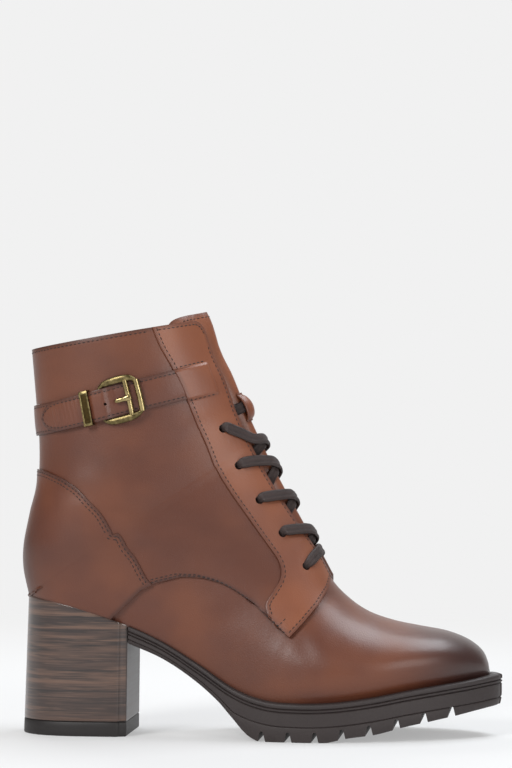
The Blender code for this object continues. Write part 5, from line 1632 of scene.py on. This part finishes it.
step_out = linear_smooth(SOLE_STEP_OUT, stations)
ring, normal = outline(stations, SOLE_PROUD * step_out)
count = len(stations)
tip = ring[count - 1:count + 1].mean(axis=0)
ends = np.linspace(0.0, 1.0, 9)[1:-1]
nose = ring[count - 1] + (ring[count] - ring[count - 1]) * ends[:, None]
nose[:, 0] += 0.0007 * np.sin(math.pi * ends)
ring = np.insert(ring, count, nose, axis=0)
normal = np.insert(normal, count, np.tile((1.0, 0.0), (7, 1)), axis=0)
ring[[0, -1], 0] = HEEL_FRONT + PIECE_GAP
normal[[0, -1], 0] = 0.0
if len(ring) % 2:
    ring, normal = np.delete(ring, count + 3, axis=0), np.delete(normal, count + 3, axis=0)
top = ring[:, 2] - 0.0001
under = sole_under(ring[:, 0], top)
rings = []
for depth, share, inset in SOLE_LIP + ((1.0, 1.0, SOLE_FOOT_IN + 0.0004),):
    level = ring.copy()
    level[:, :2] -= normal * inset
    level[:, 2] = top - np.minimum(depth, share * (top - under))
    rings.append(level)
sole = block("rubber_sole", rings, 8)
print("sole block:", len(sole.data.polygons), "faces")

# %% [markdown]
# The notches flare towards the ground and have a round roof. One cutter is shaped from
# a cube: its upper edges are drawn together and bevelled. Its copies stand in a row at
# the tread's pitch, each at the height of the sole's underside there.

# %% Notches of the tread
bpy.ops.object.select_all(action="DESELECT")
bpy.ops.mesh.primitive_cube_add(size=1.0)
cutter = bpy.context.object
box = corners(cutter)
high = box[:, 2] > 0
box[:, 0] = np.sign(box[:, 0]) * np.where(high, 0.5 * LUG_GAP_ROOF, 0.5 * LUG_GAP + 0.0006)
box[:, 1] *= 0.14
box[:, 2] = np.where(high, LUG_HEIGHT, -0.6 * LUG_HEIGHT)
cutter.data.vertices.foreach_set("co", box.ravel())
roof_edge = cutter.modifiers.new("roof", "BEVEL")
roof_edge.width = 0.0006
roof_edge.segments = 3
apply_all(cutter)
first = LUG_START * FOOT_LENGTH - HEEL_BACK
toe = float(ring[:, 0].max()) - SOLE_PROUD
notches = []
for x in np.arange(first, toe - LUG_TOE_MARGIN, LUG_PITCH):
    copy = cutter.copy()
    copy.data = cutter.data.copy()
    bpy.context.collection.objects.link(copy)
    z = float(sole_under(np.array([x]), np.interp([x], ring[:count, 0], top[:count]))[0])
    copy.location = (x, 0.0, z)
    notches.append(copy)
bpy.data.objects.remove(cutter)
select_only(*notches)
bpy.ops.object.transform_apply()
bpy.ops.object.join()
notches = bpy.context.object
tread = sole.modifiers.new("tread", "BOOLEAN")
tread.object = notches
tread.solver = "EXACT"
apply_all(sole)
smooth_shade(sole, 35.0)
bpy.data.objects.remove(notches)

rubber_finish = Finish("brown_rubber", Roughness=0.55)
dust = rubber_finish.noise(70.0, 3.0)
skin_marks = rubber_finish.noise(900.0, 3.0)
tone = (0.6 * dust).mix(colour(45, 37, 36), colour(60, 50, 48))
rubber_finish.set("Base Color", (0.3 * skin_marks).mix(tone, colour(34, 27, 26)))
rubber_finish.set("Roughness", 0.46 + 0.22 * skin_marks)
rubber_finish.bump(skin_marks, 0.00010, 0.4)
finish_piece(sole, ["outsole"], "sole_rubber", rubber_finish.material)

# %% [markdown]
# ## Heel
# A block heel with the look of stacked, dark-stained wood under a thick clear lacquer,
# its front face plain, and a black rubber lift below. The stack is a noise squeezed to
# thin level streaks, so the layers run on round the corners.

# %% Heel block and lift
def heel_ring(margin):
    """The heel's outline at the seat, with a flat front and rounded front corners."""
    fine = np.linspace(CORNER_ROW, BREAST_ROW, 500)
    x = rows_at(fine)[:, 0]
    front = HEEL_FRONT - HEEL_CORNER
    end = float(np.interp(front, x, fine))
    s = np.concatenate([[8.0, 8.35, 8.7], np.linspace(9.0, end, 9), [end + 0.2]])
    made, _ = outline(s, np.full(len(s), margin))
    outer, inner = made[:len(s) - 1, :2], made[len(s) + 1:, :2][::-1]
    turns = np.radians([30.0, 60.0, 90.0])
    arc = HEEL_CORNER * np.stack([np.sin(turns), 1.0 - np.cos(turns)], axis=1)
    outer = np.vstack([outer, outer[-1] + arc])
    inner = np.vstack([inner, inner[-1] + arc * (1.0, -1.0)])
    outer[-1, 0] = inner[-1, 0] = HEEL_FRONT
    return np.vstack([outer[::-1], inner[1:]])


def seat_height(x):
    """Height of the feather line over the heel."""
    fine = np.linspace(CORNER_ROW, 14.0, 600)
    r = rows_at(fine)
    return np.interp(x, r[:, 0], r[:, 1])


flat = heel_ring(HEEL_PROUD)
fine = [flat[0]]
for a, b in zip(flat, flat[1:]):
    fine += [a + (b - a) * w for w in ((0.5, 1.0) if np.linalg.norm(b - a) < 0.02 else (1.0,))]
front_y = np.linspace(fine[-1][1], fine[0][1], 14)[1:-1]
fine += [np.array([fine[0][0], y]) for y in front_y]
fine = np.array(fine)
shift = len(front_y) // 2
fine = np.roll(fine, shift, axis=0)
print("points round the heel:", len(fine))
seat = seat_height(fine[:, 0]) - 0.0001


def heel_level(z, inset=0.0):
    share = np.clip(1.0 - z / HEEL_SEAT_HEIGHT, 0.0, 1.0)
    x = fine[:, 0] * (1.0 + HEEL_BOTTOM_GROWTH * share) - HEEL_BOTTOM_SHIFT * share
    centre = np.array([float(fine[:, 0].mean()), 0.0])
    level = np.stack([x, fine[:, 1]], axis=1)
    away = level - centre
    level = level - inset * away / np.linalg.norm(away, axis=1, keepdims=True)
    return np.column_stack([level, np.broadcast_to(z, len(fine))])


joint = LIFT_THICKNESS + 0.0001
levels = [heel_level(seat, 0.0001), heel_level(seat - 0.0004)]
levels += [heel_level(joint + (seat - 0.0010 - joint) * share)
           for share in np.linspace(1.0, 0.0, 30)[:-1]]
levels += [heel_level(joint + 0.0004), heel_level(joint + 0.0001, 0.0002), heel_level(joint, 0.0005)]
heel = block("stacked_heel", levels)
smooth_shade(heel, 45.0)
lift_levels = [heel_level(LIFT_THICKNESS, 0.0006), heel_level(LIFT_THICKNESS - 0.0003, 0.0002)]
lift_levels += [heel_level(z) for z in (LIFT_THICKNESS - 0.0007, 0.0050, 0.0025, 0.0008)]
lift_levels += [heel_level(0.0003, 0.0002), heel_level(0.0, 0.0007)]
lift = block("rubber_lift", lift_levels)
smooth_shade(lift, 45.0)

# %% Lacquered stack
wood = Finish("lacquered_stack", Coat_Roughness=0.10)
thin = wood.noise(60.0, 3.0, wood.stretched(0.35, 0.35, 9.0), 0.62)
broad = wood.noise(60.0, 2.0, wood.stretched(0.10, 0.10, 3.6))
fleck = wood.noise(900.0, 2.0, wood.stretched(0.06, 0.06, 1.4))
streak = thin.between(0.36, 0.66)
tone = streak.mix(colour(36, 25, 22), colour(100, 74, 60))
tone = (0.7 * broad.between(0.42, 0.64)).mix(tone, colour(52, 36, 31))
tone = (0.35 * fleck.between(0.55, 0.75)).mix(tone, colour(122, 94, 78))
breast = wood.axis(0).between(HEEL_FRONT - 0.0016, HEEL_FRONT - 0.0006)
joint_line = 1.0 - wood.axis(2).between(LIFT_THICKNESS, LIFT_THICKNESS + 0.0006)
tone = (0.85 * breast).mix(tone, colour(40, 30, 28))
tone = (0.7 * joint_line).mix(tone, colour(22, 17, 16))
wood.set("Base Color", tone)
wood.set("Roughness", 0.30 + 0.14 * thin + 0.12 * breast)
wood.set("Coat Weight", 0.6 - 0.45 * breast)
wood.bump(thin, 0.00005, 0.25)
finish_piece(heel, ["heel_block"], "heel_wood", wood.material)
lift_finish = Finish("black_lift", Roughness=0.5)
marks = lift_finish.noise(800.0, 3.0)
lift_finish.set("Base Color", marks.mix(colour(24, 20, 19), colour(37, 32, 31)))
lift_finish.set("Roughness", 0.42 + 0.2 * marks)
lift_finish.bump(marks, 0.00008, 0.4)
finish_piece(lift, ["heel_lift"], "lift_rubber", lift_finish.material)

# %% [markdown]
# ## Insole
# The padded sock lining that the foot stands on, seen when one looks into the boot.

# %% Insole
stations = np.linspace(CORNER_ROW + 0.35, LAST_ROW - 1.3, 90)
low, normal = outline(stations, ground(stations) - UPPER_WALL - INSOLE_GAP)
levels = []
for height, inset in ((INSOLE_THICKNESS, 0.0012), (0.85 * INSOLE_THICKNESS, 0.0003),
                      (0.5 * INSOLE_THICKNESS, 0.0), (0.0, 0.0)):
    level = low.copy()
    level[:, :2] -= normal * inset
    level[:, 2] += height
    levels.append(level)
insole = block("padded_insole", levels, 8)
smooth_shade(insole, 40.0)
finish_piece(insole, ["insole"], "insole_leather", lining)

# %% [markdown]
# ## Stitches
# Every seam is sewn with a dark thread. One stitch is modelled from a small sphere drawn
# out long and flat; it is then copied along each seam at the machine's pitch and sunk
# half into the leather. A seam's line is drawn beside an edge, and each stitch looks for
# the nearest leather, so it lies on it whatever the folds do.

# %% One stitch
bpy.ops.object.select_all(action="DESELECT")
bpy.ops.mesh.primitive_uv_sphere_add(segments=6, ring_count=5, radius=1.0,
                                     rotation=(0.0, math.pi / 2, 0.0))
one = bpy.context.object
bpy.ops.object.transform_apply()
stitch_points = corners(one) * (0.00108, 0.00031, 0.00025)
stitch_points[:, 2] -= 0.00018 * (stitch_points[:, 0] / 0.00108) ** 2
stitch_faces = [tuple(face.vertices) for face in one.data.polygons]
bpy.data.objects.remove(one)
STITCH_PITCH = 0.0026
sewn = 0


def nearest_on(piece):
    return BVHTree.FromPolygons([tuple(p) for p in corners(piece)],
                                [tuple(face.vertices) for face in piece.data.polygons])


def seam_line(edge, leathers, inside, away=0.0, ends=(0.0, 0.0)):
    """Places and normals of stitches beside an edge, on the side where inside lies."""
    def drop(points):
        hits = [[tree.find_nearest(point) for tree in leathers] for point in points]
        return np.array([min(found, key=lambda hit: hit[3])[0] for found in hits])

    edge, outs = edge
    length = np.concatenate([[0.0], np.linalg.norm(np.diff(edge, axis=0), axis=1).cumsum()])
    at = np.arange(ends[0] + 0.5 * STITCH_PITCH, length[-1] - ends[1], STITCH_PITCH)
    line = np.stack([np.interp(at, length, edge[:, k]) for k in range(3)], axis=1)
    outs = np.stack([np.interp(at, length, outs[:, k]) for k in range(3)], axis=1)
    ahead = unit(np.gradient(line, axis=0))
    beside = unit(np.cross(outs, ahead))
    if (beside * (np.array(inside) - line)).sum() < 0:
        beside = -beside
    line = drop(line + beside * away)
    return line, outs, unit(np.gradient(line, axis=0))


def stitch_row(name, rows):
    """All stitches of a seam as one mesh, each a copy of the one stitch."""
    global sewn
    points, faces = [], []
    for line, outs, ahead in rows:
        across = unit(np.cross(outs, ahead))
        up = np.cross(ahead, across)
        for place, x, y, z in zip(line, ahead, across, up):
            start = len(points) * len(stitch_points)
            points.append(place + stitch_points @ np.array([x, y, z]))
            faces += [tuple(a + start for a in face) for face in stitch_faces]
    mesh = bpy.data.meshes.new(name)
    mesh.from_pydata([tuple(p) for p in np.vstack(points)], [], faces)
    piece = bpy.data.objects.new(name, mesh)
    bpy.context.collection.objects.link(piece)
    in_edit(piece, lambda: bpy.ops.mesh.normals_make_consistent(inside=False))
    mesh.materials.append(thread)
    smooth_shade(piece, 80.0)
    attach(piece, "root")
    sewn += len(points)
    print(name, len(points), "stitches")


# %% Lines on the shaft
def shaft_line(down, column, side, height):
    s, t = shaft_place(down, column, side)
    return dressed(s, t, side, ground(s) + height)


def above_foot(away, first, last, side, height):
    """A line at a distance above the shaft's lower edge, between two columns."""
    column = np.linspace(first, last, 160)
    foot, _ = shaft_line(np.ones(160), column, side, height)
    above, _ = shaft_line(np.full(160, 0.97), column, side, height)
    step = np.linalg.norm(above - foot, axis=-1) / 0.03
    return shaft_line(1.0 - away / step, column, side, height)


FLAP_START = FACING_SEAM[-1][1]
run = np.linspace(0.0, 1.0, 260)
quarter_tree, counter_tree = nearest_on(quarters), nearest_on(counter)
facing_trees = {side: nearest_on(facings[side]) for side in facings}
for side, word in ((OUTER, "outer"), (INNER, "inner")):
    flank = side * 0.03
    top_seam = float(seam_at(FACING_SEAM, 0.0))
    collar_line = shaft_line(0.0, run * (top_seam - 0.015), side, QUARTER_TOP)
    facing_top_line = shaft_line(0.0, top_seam + 0.02 + run * (0.98 - top_seam), side, OVERLAY_TOP)
    throat_line = shaft_line(run, 1.0, side, OVERLAY_TOP)
    rear_line = shaft_line(run, seam_at(FACING_SEAM, run), side, OVERLAY_TOP)
    counter_run = counter_down(run)
    counter_line = shaft_line(counter_run, seam_at(COUNTER_SEAM, counter_run), side, OVERLAY_TOP)
    middle = np.array([0.02, flank, 0.13])
    on_facing, on_counter, on_quarter = [facing_trees[side]], [counter_tree], [quarter_tree]
    rows = [seam_line(collar_line, on_quarter, middle, 0.0020),
            seam_line(facing_top_line, on_facing, np.array([0.05, flank, 0.18]), 0.0020)]
    stitch_row(f"stitches_collar_{word}", rows)
    rows = [seam_line(throat_line, on_facing, np.array([0.0, flank, 0.12]), 0.0019, (0.008, 0.0)),
            seam_line(above_foot(0.0019, FLAP_START + 0.055, 1.0, side, OVERLAY_TOP),
                      on_facing, middle),
            seam_line(rear_line, on_facing, np.array([0.16, flank, 0.24]), 0.0021, (0.001, 0.004))]
    stitch_row(f"stitches_facing_{word}", rows)
    rows = [seam_line(counter_line, on_counter, np.array([-0.02, flank, 0.06]), away, (0.001, 0.001))
            for away in (0.0015, 0.0033)]
    stitch_row(f"stitches_counter_{word}", rows)
    rows = [seam_line(above_foot(away, 0.21, FLAP_START - 0.006, side, QUARTER_TOP), on_quarter, middle)
            for away in (0.0016, 0.0040)]
    rows += [seam_line(above_foot(away, FLAP_START + 0.008, 0.53, side, OVERLAY_TOP), on_facing, middle)
             for away in (0.0016, 0.0040)]
    rows += [seam_line(above_foot(0.0085, FLAP_START + 0.03, 0.57, side, OVERLAY_TOP),
                       on_facing, middle)]
    stitch_row(f"stitches_flap_{word}", rows)

# %% Lines on the strap, the facings' patches and the tongue
rows = []
front_tree, rear_tree = nearest_on(front), nearest_on(rear_strap)
strap_in = half_strap - STRAP_EDGE_ROW
run_along = np.linspace(start_along + STRAP_TIP_LENGTH, end_along, 200)
for way in (-1.0, 1.0):
    column = np.interp(run_along, along_at, column_at)
    edge_line = strap_sheet(column, half_strap, np.full(200, way * strap_in / half_strap), OUTER,
                            linear_smooth(FRONT_LIFT, run_along))
    rows.append(seam_line(edge_line, [front_tree], AIM, 0.0))
tip_turn = np.linspace(-0.5 * math.pi, 0.5 * math.pi, 90)
tip_along = start_along + STRAP_TIP_LENGTH - (STRAP_TIP_LENGTH - STRAP_EDGE_ROW) * np.cos(tip_turn)
tip_share = np.sign(np.sin(tip_turn)) * np.abs(np.sin(tip_turn)) ** 0.9 * strap_in / half_strap
tip_column = np.interp(tip_along, along_at, column_at)
tip_line = strap_sheet(tip_column, half_strap, tip_share, OUTER, np.full(90, FRONT_LIFT[0][1]))
rows.append(seam_line(tip_line, [front_tree], AIM, 0.0))
for side, end in ((OUTER, rear_end), (INNER, STRAP_HIDDEN_END)):
    for way in (-1.0, 1.0):
        column = np.linspace(0.0, end, 160)
        edge_line = strap_sheet(column, half_strap, np.full(160, way * strap_in / half_strap), side, 0.0)
        rows.append(seam_line(edge_line, [rear_tree], AIM, 0.0))
stitch_row("stitches_strap", rows)
rows = []
for side in (OUTER, INNER):
    for way in (-1.0, 1.0):
        column = np.linspace(0.815, STRAP_END - 0.01, 60)
        s, t = strap_row(column, way * (half_strap + 0.0009), side)
        line = dressed(s, t, side, ground(s) + OVERLAY_TOP)
        rows.append(seam_line(line, [facing_trees[side]], AIM, 0.0))
stitch_row("stitches_strap_patch", rows)
tongue_tree = nearest_on(tongue)
rows = []
for side in (OUTER, INNER):
    u = np.linspace(0.30, 1.0, 120)
    s, t = tongue_place(u, np.zeros(120), side)
    out = outward(s, t, side)
    points = on_last(s, t, side) + out * tongue_height(s, t, side)[:, None]
    rows.append(seam_line((points, out), [tongue_tree], (0.09, 0.0, 0.15), 0.0026))
stitch_row("stitches_tongue", rows)
print("stitches in all:", sewn)

# %% [markdown]
# The dressed boot must be as large as its solids. Both boxes are written down.

# %% Size and end
boxes = {"cad": [list(corner) for corner in cad_box],
         "visual": [list(corner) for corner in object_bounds()]}
print("size, mm:", [round(1000 * (b - a), 1) for a, b in zip(*boxes["visual"])])
